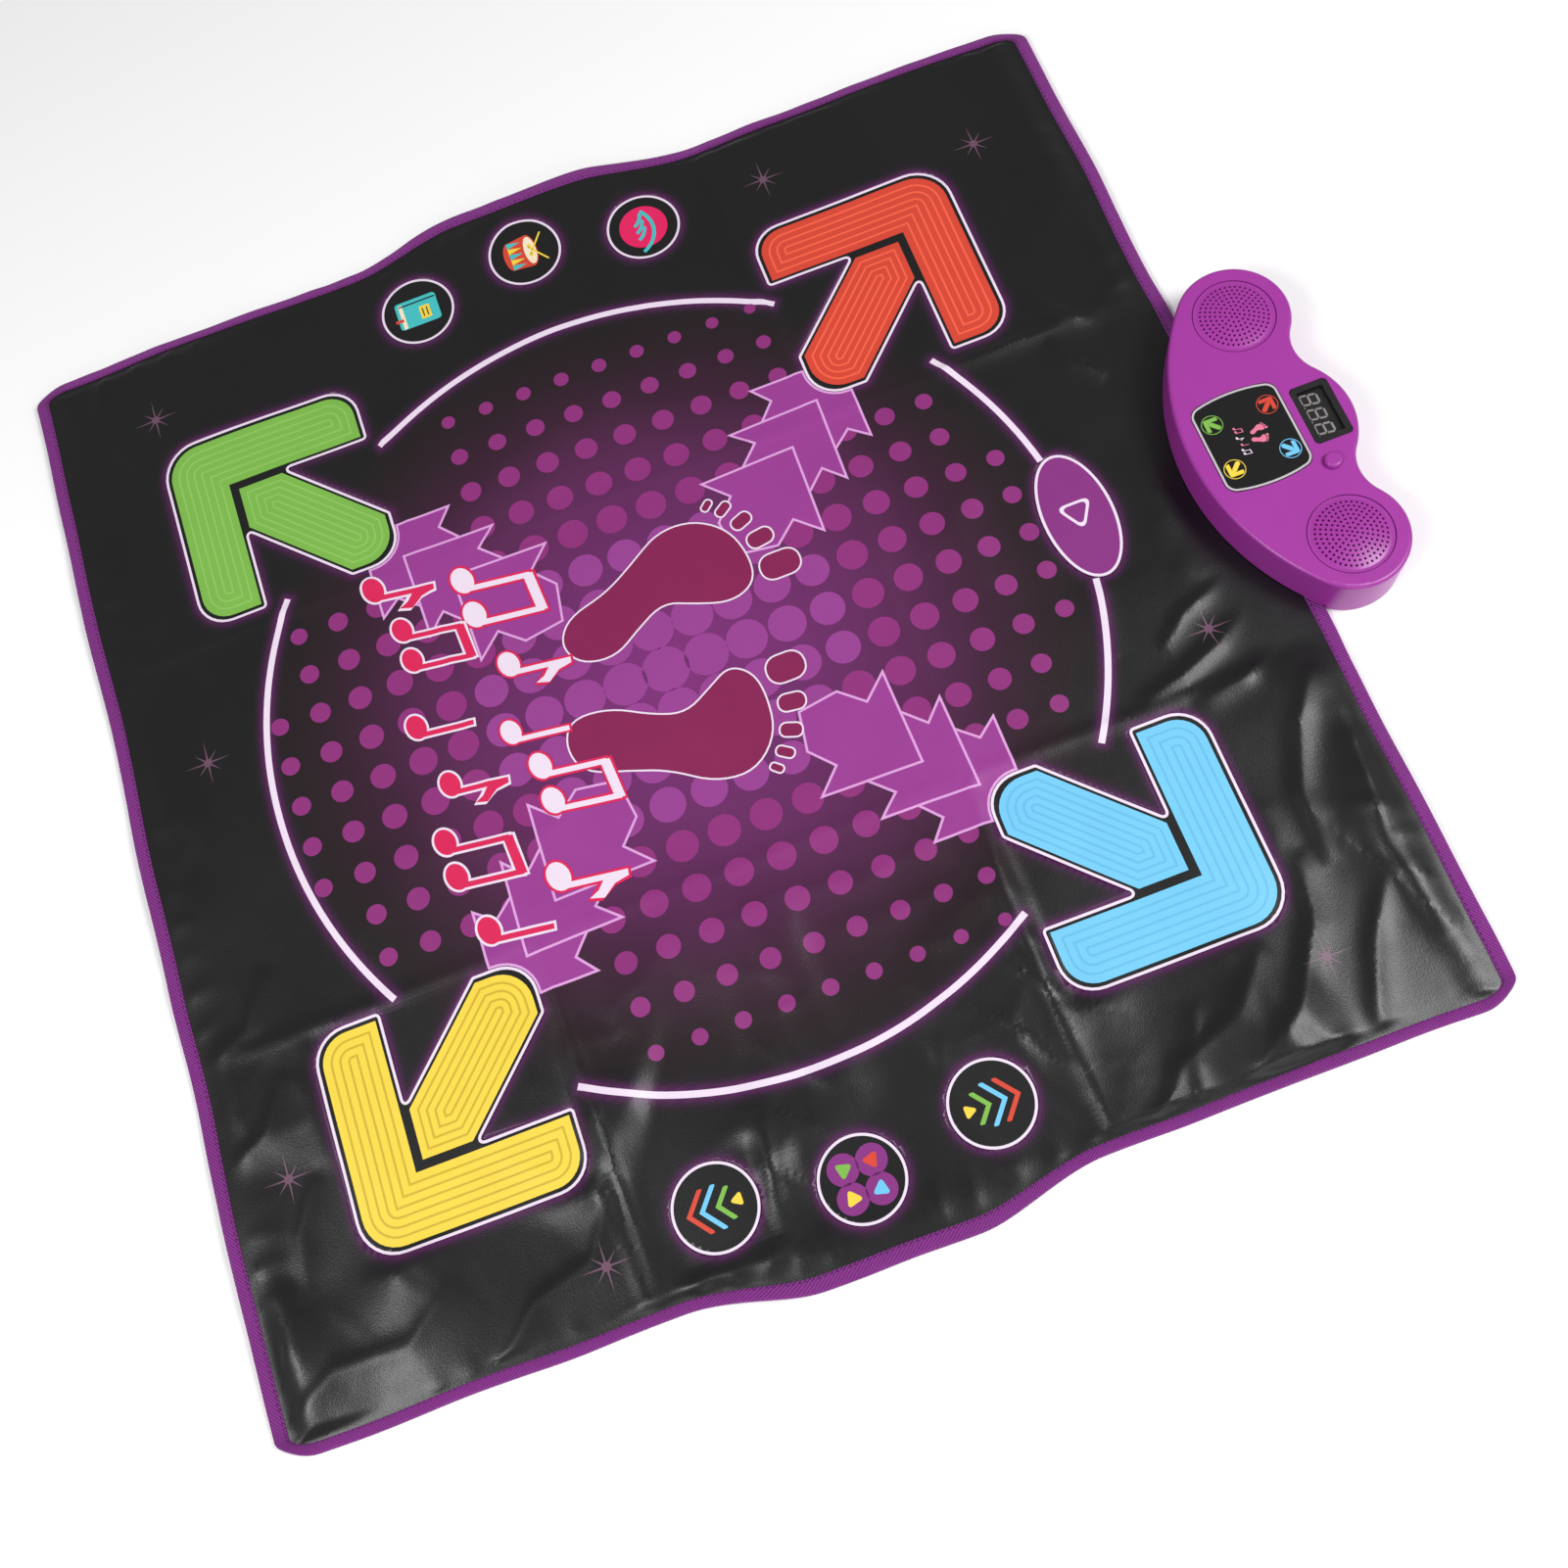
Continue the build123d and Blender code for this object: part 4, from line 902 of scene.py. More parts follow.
def arrowOutline(growth=0.0):
    edge = arrow["half"] + growth
    inner = arrow["half"] - arrow["bar"] - growth
    diagonal = arrow["stem"] / math.sqrt(2) + growth * math.sqrt(2)
    points = [(-edge, inner), (inner - diagonal, inner), (-edge, diagonal - edge), (-edge, -edge),
              (diagonal - edge, -edge), (inner, inner - diagonal), (inner, -edge), (edge, -edge),
              (edge, edge), (-edge, edge)]
    end, tip = arrow["end"] + growth, arrow["tip"] + growth
    return cornered(points, {0: 4, 1: 2.5, 2: 4, 3: end, 4: 4, 5: 2.5, 6: 4, 7: end, 8: tip, 9: end})


def arrowHead():
    edge, inner = arrow["ink"], arrow["inkInner"]
    points = [(-edge, inner), (inner, inner), (inner, -edge), (edge, -edge), (edge, edge), (-edge, edge)]
    return cornered(points, {3: 22, 4: 27, 5: 22})


def arrowStem():
    edge, inner, side = arrow["ink"], arrow["inkStem"], arrow["inkStemSide"]
    points = [(inner, inner), (inner - side, inner), (-edge, side - edge), (-edge, -edge), (side - edge, -edge),
              (inner, inner - side)]
    return cornered(points, {3: 25})


def padOutline(name, growth=0.0):
    middle, half = pads[name]
    x, y = middle.x / mm, middle.y / mm
    if name in padTurns:
        return placed(arrowOutline(growth), x, y, padTurns[name])
    return placed(disc(half.x / mm + growth, half.y / mm + growth, 64), x, y)


# the mat's layers, each cut flat and then laid

stack = {"corner": 30.0, "hem": 0.8, "lap": 0.4, "turnDown": 0.0007, "padGap": 0.35, "skin": 0.0006}
layers = [
    # name, CAD node, low and high in millimetres, inset from the binding's edge, pad holes, finish, slot
    ("backing_cloth", "non_slip_backing", 0.02, 0.75, 11.2, False, "non_slip_cloth", "non_slip_cloth"),
    ("lower_film_sheet", "lower_contact_film", 0.82, 0.98, 1.4, False, "contact_film", "contact_film"),
    ("foam_sheet", "foam_spacer", 1.02, 3.3, 1.4, True, "foam", "foam"),
    ("upper_film_sheet", "upper_contact_film", 3.36, 3.5, 1.4, True, "contact_film", "contact_film"),
]


def matFace(inset, holes, every):
    x, y = bindHigh.x / mm - inset, bindHigh.y / mm - inset
    radius = stack["corner"] - inset
    bm = cornered([(-x, -y), (x, -y), (x, y), (-x, y)], {0: radius, 1: radius, 2: radius, 3: radius}, 8)
    if holes:
        bmesh.ops.delete(bm, geom=list(bm.faces), context="FACES_ONLY")
        for name in pads:
            hole = padOutline(name, stack["padGap"])
            bmesh.ops.delete(hole, geom=list(hole.faces), context="FACES_ONLY")
            joinShape(bm, hole)
        bmesh.ops.triangle_fill(bm, use_beauty=True, edges=bm.edges)
    faceUp(bm)
    cutOnField(bm, every)
    return bm


def thickened(bm, low, high):
    # a closed layer from a flat one
    bmesh.ops.translate(bm, vec=(0, 0, low * mm), verts=bm.verts)
    raised = bmesh.ops.extrude_face_region(bm, geom=list(bm.faces))["geom"]
    lifted = [part for part in raised if isinstance(part, bmesh.types.BMVert)]
    bmesh.ops.translate(bm, vec=(0, 0, (high - low) * mm), verts=lifted)
    bmesh.ops.recalc_face_normals(bm, faces=bm.faces)
    return bm


def layUnderlayers():
    made = []
    for name, node, low, high, inset, holes, finishName, slotName in layers:
        bm = thickened(matFace(inset, holes, 3), low, high)
        piece = addPiece(name, bm, [finish[finishName]], slotName, level=0.0, height="soft")
        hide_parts(node)
        made.append(piece)
    return made


glow = {"spacing": 2.0, "strength": 0.6, "reach": 3.2, "fall": 1.4}
glowPoints = []


def markGlow(bm):
    # remembers points along a shape's edge, for the glow printed round it
    for edge in bm.edges:
        if len(edge.link_faces) == 1:
            a, b = edge.verts[0].co, edge.verts[1].co
            steps = max(1, math.ceil((b - a).length / (glow["spacing"] * mm)))
            glowPoints.extend((a.lerp(b, step / steps)).copy() for step in range(steps))
    return bm


def glowAt(mesh):
    # strongest beside a line, gone 12 mm away
    tree = KDTree(len(glowPoints))
    for index, point in enumerate(glowPoints):
        tree.insert((point.x, point.y, 0), index)
    tree.balance()
    attribute = mesh.attributes.new("glow", "FLOAT", "POINT")
    for index, vertex in enumerate(mesh.vertices):
        away = tree.find((vertex.co.x, vertex.co.y, 0))[2] / mm
        attribute.data[index].value = glow["strength"] * math.exp(-((away / glow["reach"]) ** glow["fall"]))


def layTopSheet():
    bm = matFace(stack["hem"] + stack["lap"], True, 1)
    rim = [edge for edge in bm.edges if len(edge.link_faces) == 1]
    turned = bmesh.ops.extrude_edge_only(bm, edges=rim)["geom"]
    drop = [part for part in turned if isinstance(part, bmesh.types.BMVert)]
    bmesh.ops.translate(bm, vec=(0, 0, -stack["turnDown"]), verts=drop)
    for face in bm.faces:
        face.smooth = True
    piece = addPiece("top_sheet", bm, [finish["top_vinyl"]], "printed_vinyl", level=sheetHigh.z, glowing=True)
    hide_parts("printed_top_sheet")
    return piece


# the binding tape with its row of stitches

tape = {
    # distance in from the mat's edge and height, in millimetres, from the top flange round to the bottom one
    "profile": [(11.0, 4.3), (10.8, 5.0), (9.4, 5.25), (5.5, 5.3), (2.2, 5.2), (0.7, 4.75), (0.1, 3.8), (0.0, 2.6),
                (0.15, 1.4), (0.8, 0.5), (2.4, 0.1), (6.0, 0.04), (11.0, 0.04)],
    "step": 5.0,
    "puff": 0.35,
    "stitch": 3.0,
    "stitchPitch": 4.4,
    "stitchInset": 9.3,
}


def rimLength():
    r = stack["corner"] * mm
    return 4 * (bindHigh.x + bindHigh.y - 2 * r) + 2 * math.pi * r


def rimPoint(run):
    # a place on the mat's rounded outline, with the direction that points inwards
    r = stack["corner"] * mm
    quarter = math.pi * r / 2
    sideX, sideY = 2 * (bindHigh.x - r), 2 * (bindHigh.y - r)
    corners = [(bindHigh.x - r, bindHigh.y - r), (-bindHigh.x + r, bindHigh.y - r),
               (-bindHigh.x + r, -bindHigh.y + r), (bindHigh.x - r, -bindHigh.y + r)]
    run %= rimLength()
    for index, (side, (x, y)) in enumerate(zip((sideY, sideX, sideY, sideX), corners)):
        turn = index * math.pi / 2
        out = Vector((math.cos(turn), math.sin(turn), 0))
        along = Vector((-out.y, out.x, 0))
        if run < side:
            return Vector((x, y, 0)) + out * r - along * (side - run), -out
        run -= side
        if run < quarter:
            turn += run / r
            out = Vector((math.cos(turn), math.sin(turn), 0))
            return Vector((x, y, 0)) + out * r, -out
        run -= quarter
    return Vector((bindHigh.x, 0, 0)), Vector((-1, 0, 0))


def sewBinding():
    total = rimLength()
    count = round(total / (tape["step"] * mm))
    profile = tape["profile"]
    bm = bmesh.new()
    uvs = bm.loops.layers.uv.new("UVMap")
    bmesh.ops.create_grid(bm, x_segments=count, y_segments=len(profile) - 1, size=0.5)
    across = [0.0]
    for (n1, z1), (n2, z2) in zip(profile, profile[1:]):
        across.append(across[-1] + math.hypot(n2 - n1, z2 - z1) * mm)
    for face in bm.faces:
        face.smooth = True
        for loop in face.loops:
            row = round((loop.vert.co.y + 0.5) * (len(profile) - 1))
            loop[uvs].uv = ((loop.vert.co.x + 0.5) * total, across[row])
    for vert in bm.verts:
        run = (vert.co.x + 0.5) * total
        inset, height = profile[round((vert.co.y + 0.5) * (len(profile) - 1))]
        spot, inwards = rimPoint(run)
        around = run / total * 2 * math.pi
        swell = 1 + tape["puff"] * noise.noise((math.cos(around) * 26, math.sin(around) * 26, inset * 0.2))
        bow = spot + inwards * inset * mm
        vert.co = (bow.x, bow.y, 0.0026 + (height * mm - 0.0026) * (swell if 0.5 < inset < 9 and height > 3 else 1))
    bmesh.ops.remove_doubles(bm, verts=bm.verts, dist=1e-6)
    bmesh.ops.recalc_face_normals(bm, faces=bm.faces)
    piece = addPiece("binding_tape", bm, [finish["binding_tape"]], "binding_tape", level=0.0, height="soft")
    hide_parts("edge_binding")
    return piece


def sewStitches():
    total = rimLength()
    count = round(total / (tape["stitchPitch"] * mm))
    bm = bmesh.new()
    for index in range(count):
        spot, inwards = rimPoint(index * total / count)
        place = spot + inwards * tape["stitchInset"] * mm
        turn = math.atan2(inwards.y, inwards.x) - math.pi / 2
        size = Matrix.Diagonal((tape["stitch"] / 2 * mm, 0.42 * mm, 0.32 * mm, 1))
        matrix = Matrix.Translation((place.x, place.y, 0.0053)) @ Matrix.Rotation(turn, 4, "Z") @ size
        bmesh.ops.create_icosphere(bm, subdivisions=1, radius=1.0, matrix=matrix)
    for face in bm.faces:
        face.smooth = True
    return addPiece("binding_stitches", bm, [finish["thread"]], "binding_tape", level=0.0, height="soft")


# prints on the mat

ring = {"middle": (0, -13), "radius": 323, "width": 5,
        "arcs": [(147, 211), (-31, 32), (57, 80.4), (99.6, 122), (237.5, 301.5)]}
dots = {"middle": (-1, -21.5), "pitchX": 34.3, "pitchY": 32.9, "centre": 18.6, "fall": 11.2, "reach": 300.0,
        "least": 4.6, "bright": 150.0, "stretch": 1.2}
ribbonEdge = 1.9
ribbonChain = [
    [(0.5, -30), (48, -30), (35, -14), (49, 2), (20, 20), (2, 49), (-14, 35), (-30, 48), (-30, 0.5)],
    [(-1, -1), (77, 1), (60, 17), (76, 33), (50, 50), (33, 76), (17, 60), (1, 77)],
    [(31, 31), (112, 33), (93, 53), (109, 71), (104, 104), (71, 109), (53, 93), (33, 112)],
]
leftFoot = [(-64, 70), (-42, 66), (-33, 44), (-43, 16), (-53, -6), (-40, -30), (-24, -54), (-29, -82), (-50, -93),
            (-71, -80), (-79, -46), (-96, -18), (-114, 8), (-113, 38), (-94, 62)]
leftToes = [(-50, 89, 12, 17, 0), (-77, 82, 8, 11.5, 8), (-96.5, 73, 6.5, 9.5, 22), (-112, 63, 5, 8, 35),
            (-120, 52, 4, 6.2, 42)]
rightFoot = [(48, 44), (80, 40), (103, 16), (99, -16), (78, -44), (67, -72), (56, -106), (32, -114), (10, -104),
             (12, -72), (30, -42), (38, -18), (24, 6), (14, 24), (26, 40)]
rightToes = [(32, 64, 12.5, 16, 0), (60, 59, 8, 11.5, -8), (81, 51, 6.5, 9.5, -20), (96, 41, 5, 8, -35),
             (105.5, 31, 4, 6.2, -42)]
starLook = {"long": 19, "short": 13, "waist": 2.1, "heart": 3.4, "spikes": 16}
footEdge = 1.4            # width of the light line round a foot and a toe
stars = [(-349, 368), (-389, 195), (123, 365), (376, 337), (-376, -351), (-63, -379), (265, -395), (399, -198)]
notesAbove = [(-112, -124, 0.92, "pair"), (-48, -112, 0.86, "eighth"), (6, -128, 0.80, "quarter"),
              (58, -112, 0.86, "pair"), (128, -124, 0.92, "eighth")]
notesBelow = [(-150, -196, 0.86, "eighth"), (-92, -184, 0.80, "pair"), (-26, -196, 0.80, "quarter"),
              (28, -184, 0.80, "eighth"), (88, -198, 0.84, "pair"), (148, -186, 0.86, "quarter")]


def underPad(points):
    # the first ribbon stops at the rounded end of the arrow pad's stem
    radius, gap = arrow["end"], 0.6
    turns = [math.radians(90 - 90 * step / 8) for step in range(9)]
    return points[:-1] + [(-30, gap)] + [
        (-radius + (radius + gap) * math.cos(turn), -radius + (radius + gap) * math.sin(turn)) for turn in turns
    ]


def printRibbons(sheet):
    for name in padTurns:
        middle, half = pads[name]
        signX, signY = (1 if middle.x > 0 else -1), (1 if middle.y > 0 else -1)
        cornerX, cornerY = middle.x / mm - signX * half.x / mm, middle.y / mm - signY * half.y / mm
        for index, points in enumerate(ribbonChain):
            shapePoints = underPad(points) if index == 0 else points
            spots = [(cornerX - signX * u, cornerY - signY * v) for u, v in shapePoints]
            sheet.add(cornered(spots), "ribbonInk", 2 + 2 * index)
            sheet.add(lineAlong(cornered(spots), ribbonEdge), "ribbonEdgeInk", 3 + 2 * index)


def printDots(sheet):
    for row in range(-9, 10):
        wide = 2 if abs(row) == 9 else 8 if -2 <= row - 1 <= 4 or -3 <= row <= 3 else 4
        for column in range(-wide, wide + 1):
            x = dots["middle"][0] + column * dots["pitchX"]
            y = dots["middle"][1] + row * dots["pitchY"]
            away = math.hypot(x * dots["stretch"], y - dots["middle"][1])
            radius = max(dots["least"], dots["centre"] - dots["fall"] * away / dots["reach"])
            if overPad(x, y, radius):
                continue
            inkName = "brightDotInk" if away < dots["bright"] else "dotInk"
            sheet.add(placed(disc(radius, segments=28), x, y), inkName, 1)


def overPad(x, y, radius):
    # whether a round print would run onto a step pad
    for name in padTurns:
        middle, half = pads[name]
        if abs(x - middle.x / mm) < half.x / mm + radius and abs(y - middle.y / mm) < half.y / mm + radius:
            return True
    return False


def printRing(sheet):
    x, y = ring["middle"]
    for start, end in ring["arcs"]:
        steps = max(12, round((end - start) * 0.9))
        arc = placed(band(ring["radius"], ring["width"], start, end, steps), x, y)
        sheet.add(markGlow(arc), "whiteInk", 1)


def printFeet(sheet):
    for body, toes in ((leftFoot, leftToes), (rightFoot, rightToes)):
        sheet.add(smoothShape(body), "whiteInk", 8)
        sheet.add(shrunk(smoothShape(body), footEdge), "footInk", 9)
        for x, y, halfX, halfY, turn in toes:
            radius = halfX * 0.9
            sheet.add(placed(slab(2 * halfX, 2 * halfY, radius), x, y, turn), "whiteInk", 8)
            inner = slab(2 * halfX - 2 * footEdge, 2 * halfY - 2 * footEdge, radius - footEdge)
            sheet.add(placed(inner, x, y, turn), "footInk", 9)


def shrunk(bm, inset):
    # the same face drawn in by a small distance all round
    for face in list(bm.faces):
        waste = bmesh.ops.inset_individual(bm, faces=[face], thickness=inset * mm, use_even_offset=True)
        bmesh.ops.delete(bm, geom=waste["faces"], context="FACES")
    return bm


def noteParts(kind, grow):
    # a music note: oval heads, stems, and a beam or a flag
    def head(x, y):
        return placed(disc(13 + grow, 9.5 + grow, 24), x, y, 22)

    def stem(x, low, high):
        return placed(slab(5 + 2 * grow, high - low + 2 * grow), x, (low + high) / 2)

    if kind == "quarter":
        return [head(0, -26), stem(9, -24, 30)]
    if kind == "eighth":
        flag = [(7.4 - grow, 30 + grow), (12 + grow, 30 + grow), (16 + grow, 18), (26 + grow, 8 - grow),
                (24 + grow, -4 - grow), (19 - grow, 4 - grow), (7.4 - grow, 12 - grow)]
        return [head(0, -26), stem(9, -24, 30), cornered(flag)]
    beam = [(-12.6 - grow, 22 - grow), (24.6 + grow, 30 - grow), (24.6 + grow, 39 + grow), (-12.6 - grow, 31 + grow)]
    return [head(-20, -30), head(14, -24), stem(-11, -28, 28), stem(23, -22, 36), cornered(beam)]


stagger = 0.2            # the parts of one figure lie this share of an ink apart, so that none share a plane
noteLook = {"turn": -8, "edge": 2.2}


def printNotes(sheet):
    for notes, fillInk, edgeInk in ((notesAbove, "whiteInk", "noteRedInk"), (notesBelow, "noteRedInk", "whiteInk")):
        for x, y, size, kind in notes:
            for order, part in enumerate(noteParts(kind, noteLook["edge"])):
                sheet.add(placed(part, x, y, noteLook["turn"], size), edgeInk, 10 + stagger * order)
            for order, part in enumerate(noteParts(kind, 0.0)):
                sheet.add(placed(part, x, y, noteLook["turn"], size), fillInk, 11 + stagger * order)


def printStars(sheet):
    for x, y in stars:
        points = []
        for spike in range(starLook["spikes"]):
            tip = starLook["long"] if spike % 4 == 0 else starLook["short"]
            reach = tip if spike % 2 == 0 else starLook["waist"]
            turn = math.radians(spike * 360 / starLook["spikes"])
            points.append((reach * math.cos(turn), reach * math.sin(turn)))
        sheet.add(placed(cornered(points), x, y), "starInk", 1)
        sheet.add(placed(disc(starLook["heart"], segments=16), x, y), "starInk", 2)


def printMat():
    sheet = Print()
    printDots(sheet)
    printRing(sheet)
    printRibbons(sheet)
    printFeet(sheet)
    printNotes(sheet)
    printStars(sheet)
    return sheet.finish("mat_print", "purple_print", "mat_and_console", sheetHigh.z)


# the step pads with their prints


def laySkin(name, slotName):
    bm = padOutline(name)
    cutOnField(bm)
    for face in bm.faces:
        face.smooth = True
    piece = addPiece(name + "_skin", bm, [finish["pad_skin"]], slotName, body=name, level=sheetHigh.z)
    shell = piece.modifiers.new("thickness", "SOLIDIFY")
    shell.thickness = stack["skin"]
    shell.offset = -1.0
    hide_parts(name)
    return piece


def ribbed(make, ribs, half):
    # concentric lines inside a shape, evenly spaced from its edge to its middle
    pitch = half / (ribs + 0.5)
    for rib in range(ribs):
        bm = make()
        yield lineAlong(bm, arrow["ribWidth"], pitch * (rib + 1) - arrow["ribWidth"] / 2)


def printArrow(name):
    middle = pads[name][0]
    x, y, turn = middle.x / mm, middle.y / mm, padTurns[name]
    colour = arrowInks[name]
    sheet = Print()
    sheet.add(placed(lineAlong(arrowOutline(), arrow["line"]), x, y, turn), "whiteInk", 1)
    sheet.add(placed(arrowHead(), x, y, turn), colour + "Ink", 1)
    sheet.add(placed(arrowStem(), x, y, turn), colour + "Ink", 1)
    headHalf = (arrow["ink"] - arrow["inkInner"]) / 2
    stemHalf = arrow["inkStemSide"] / math.sqrt(2)
    for rib in ribbed(arrowHead, arrow["headRibs"], headHalf):
        sheet.add(placed(rib, x, y, turn), colour + "RibInk", 2)
    for rib in ribbed(arrowStem, arrow["stemRibs"], stemHalf):
        sheet.add(placed(rib, x, y, turn), colour + "RibInk", 2)
    markGlow(padOutline(name)).free()
    return sheet.finish(name + "_print", colour + "_print", name, sheetHigh.z)


def chevron(halfWidth, rise, thick):
    points = [(-halfWidth, 0), (0, rise), (halfWidth, 0), (halfWidth, -thick), (0, rise - thick),
              (-halfWidth, -thick)]
    return cornered(points, {0: 1.0, 2: 1.0, 3: 1.0, 5: 1.0}, 3)


def triangle(size, turn):
    points = [(size * math.cos(math.radians(turn + step)), size * math.sin(math.radians(turn + step)))
              for step in (0, 120, 240)]
    return cornered(points, {0: size * 0.25, 1: size * 0.25, 2: size * 0.25}, 4)


def waveIcon():
    yield disc(20.5), "pinkInk", 2
    yield placed(band(25, 3.2, 24, 132, 24), 1, -17), "tealInk", 3
    for shift in (-4, 3, 10):
        yield placed(band(15, 3.0, 28, 82, 12), shift - 12, -14), "tealInk", 3


def drumIcon():
    yield placed(disc(13.5, 5.5), 0, -12.5), "redInk", 2
    yield cornered([(-13.5, -12), (13.5, -12), (15.5, 4), (-15.5, 4)]), "redInk", 3
    for step in range(5):
        left = -13.5 + 5.4 * step
        part = cornered([(left, -13), (left + 5.4, -13), (left + 2.7, -1)])
        yield part, "yellowInk" if step % 2 else "tealInk", 4
    yield placed(disc(15.5, 6.4), 0, 4.5), "redInk", 5
    yield placed(disc(13.4, 5.0), 0, 5.0), "creamInk", 6
    for sign in (-1, 1):
        yield placed(slab(22, 1.5, 0.7, 3), sign * 5, 11, sign * 38), "yellowInk", 7
        yield placed(disc(2.0, segments=14), sign * -4, 5.2), "yellowInk", 7


def bookIcon():
    yield slab(27, 36, 3), "tealInk", 2
    yield placed(slab(24, 3.4, 1, 3), 1, -13.5), "creamInk", 3
    yield placed(slab(1.4, 32), -9.5, 1), "blackInk", 3
    yield placed(slab(13, 9, 1, 3), 2.5, 6), "yellowInk", 3
    for line in (4.2, 7.8):
        yield placed(slab(8.5, 1.0), 2.5, line), "blackInk", 4
    yield placed(slab(3.0, 7.0), 4, -17), "redInk", 4


def levelIcon(sign):
    rows = [("redInk", 15.5, 12.5), ("blueInk", 15.5, 3.0), ("greenInk", 11.5, -5.5)]
    for inkName, half, y in rows:
        yield placed(chevron(half, half * 0.82, 4.2), 0, sign * (y - 4), 0 if sign > 0 else 180), inkName, 2
    yield placed(triangle(6.2, 90 if sign > 0 else 270), 0, sign * -16.5), "yellowInk", 2


def colourIcon():
    for inkName, x, y in (("redInk", -1, 1), ("blueInk", 1, 1), ("greenInk", -1, -1), ("yellowInk", 1, -1)):
        yield placed(disc(11.2), x * 10.4, y * 10.4), "purpleInk", 2
        yield placed(triangle(7.6, math.degrees(math.atan2(-y, -x)) + 180), x * 10.2, y * 10.2), inkName, 3


icons = {
    "round_pad_left_back": waveIcon, "round_pad_left_middle": drumIcon, "round_pad_left_front": bookIcon,
    "round_pad_right_back": lambda: levelIcon(1), "round_pad_right_middle": colourIcon,
    "round_pad_right_front": lambda: levelIcon(-1),
}


def printIcon(name):
    middle, half = pads[name]
    x, y = middle.x / mm, middle.y / mm
    sheet = Print()
    sheet.add(placed(band(half.x / mm - 1.3, 2.0, 0, 360, 64), x, y), "whiteInk", 1)
    for shape, inkName, layer in icons[name]():
        sheet.add(placed(shape, x, y), inkName, layer)
    markGlow(padOutline(name)).free()
    return sheet.finish(name + "_print", "purple_print", name, sheetHigh.z)


def printStart(name):
    middle, half = pads[name]
    x, y = middle.x / mm, middle.y / mm
    halfX, halfY = half.x / mm, half.y / mm
    sheet = Print()
    sheet.add(placed(disc(halfX - 0.3, halfY - 0.3, 64), x, y), "whiteInk", 1)
    sheet.add(placed(disc(halfX - 2.6, halfY - 2.6, 64), x, y), "purpleInk", 2)
    sheet.add(placed(triangle(17, 0), x - 3, y), "whiteInk", 3)
    sheet.add(placed(triangle(12.6, 0), x - 3, y), "purpleInk", 4)
    markGlow(padOutline(name)).free()
    return sheet.finish(name + "_print", "purple_print", name, sheetHigh.z)


finish["thread"] = solidFinish("thread", threadLook)
for name in pads:
    laySkin(name, slotOf[name])
    if name in padTurns:
        printArrow(name)
    elif name == "start_pad":
        printStart(name)
    else:
        printIcon(name)
matPrint = printMat()
print("prints,", len(matPrint.data.polygons), "faces")
topSheet = layTopSheet()
print("top sheet,", len(topSheet.data.polygons), "faces")
underLayers = layUnderlayers()
bindingTape = sewBinding()
stitches = sewStitches()
print("layers and binding")


# the console's label and display

labelLow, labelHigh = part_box("label_panel")
labelMiddle = (labelLow + labelHigh) / 2
displayLow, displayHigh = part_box("led_display")
displayMiddle = (displayLow + displayHigh) / 2
label = {"length": 72.0, "width": 68.4, "bulge": 4.9, "corner": 10.0, "inset": 0.5, "border": 1.6, "iconX": 20.0,
         "iconY": 22.0, "iconRing": 7.8, "iconSize": 0.068, "feet": 0.07, "feetRise": 7.0, "noteSize": 0.09}
digits = {"count": 3, "pitch": 13.0, "height": 14.4, "width": 9.6, "bar": 1.6, "gap": 0.3, "slant": 8.0, "drop": 2.4}


def pieceOf(shapes, name, slotName, level, x, y, body="mat_and_console"):
    # flat shapes of several inks, stacked a hair apart at one level
    bm = bmesh.new()
    used = []
    for shape, inkName, layer in shapes:
        if inkName not in used:
            used.append(inkName)
        for face in shape.faces:
            face.material_index = used.index(inkName)
        bmesh.ops.translate(shape, vec=(x, y, level + layer * labelRise), verts=shape.verts)
        joinShape(bm, shape)
    bmesh.ops.triangulate(bm, faces=bm.faces)
    return addPiece(name, bm, [ink[inkName] for inkName in used], slotName, body)


def roundedLabel(points, radius):
    # the label's four corners rounded by trimming its bowed sides short of them
    def near(spot, corner):
        return math.hypot(spot[0] - corner[0], spot[1] - corner[1]) < radius * 0.98

    corners = [points[0], points[10], points[11], points[21]]
    kept, rounds = [], {}
    for spot in points:
        if spot in corners:
            rounds[len(kept)] = radius * 0.92
            kept.append(spot)
        elif not any(near(spot, corner) for corner in corners):
            kept.append(spot)
    return cornered(kept, rounds, 8)


def labelOutline(inset):
    halfX, halfY = label["length"] / 2 - inset, label["width"] / 2 - inset
    bow = label["bulge"]
    radius = (halfY ** 2 + bow ** 2) / (2 * bow)
    sweep = math.asin(halfY / radius)
    turns = [sweep * (2 * step / 10 - 1) for step in range(11)]
    right = [(halfX + bow - radius + radius * math.cos(turn), radius * math.sin(turn)) for turn in turns]
    points = right + [(-x, -y) for x, y in right]
    return roundedLabel(points, label["corner"] - inset)


def nudged(x, y, turn, step):
    # a place moved a little towards an arrow's tip
    towards = math.radians(turn + 45)
    return x + step * math.cos(towards), y + step * math.sin(towards)


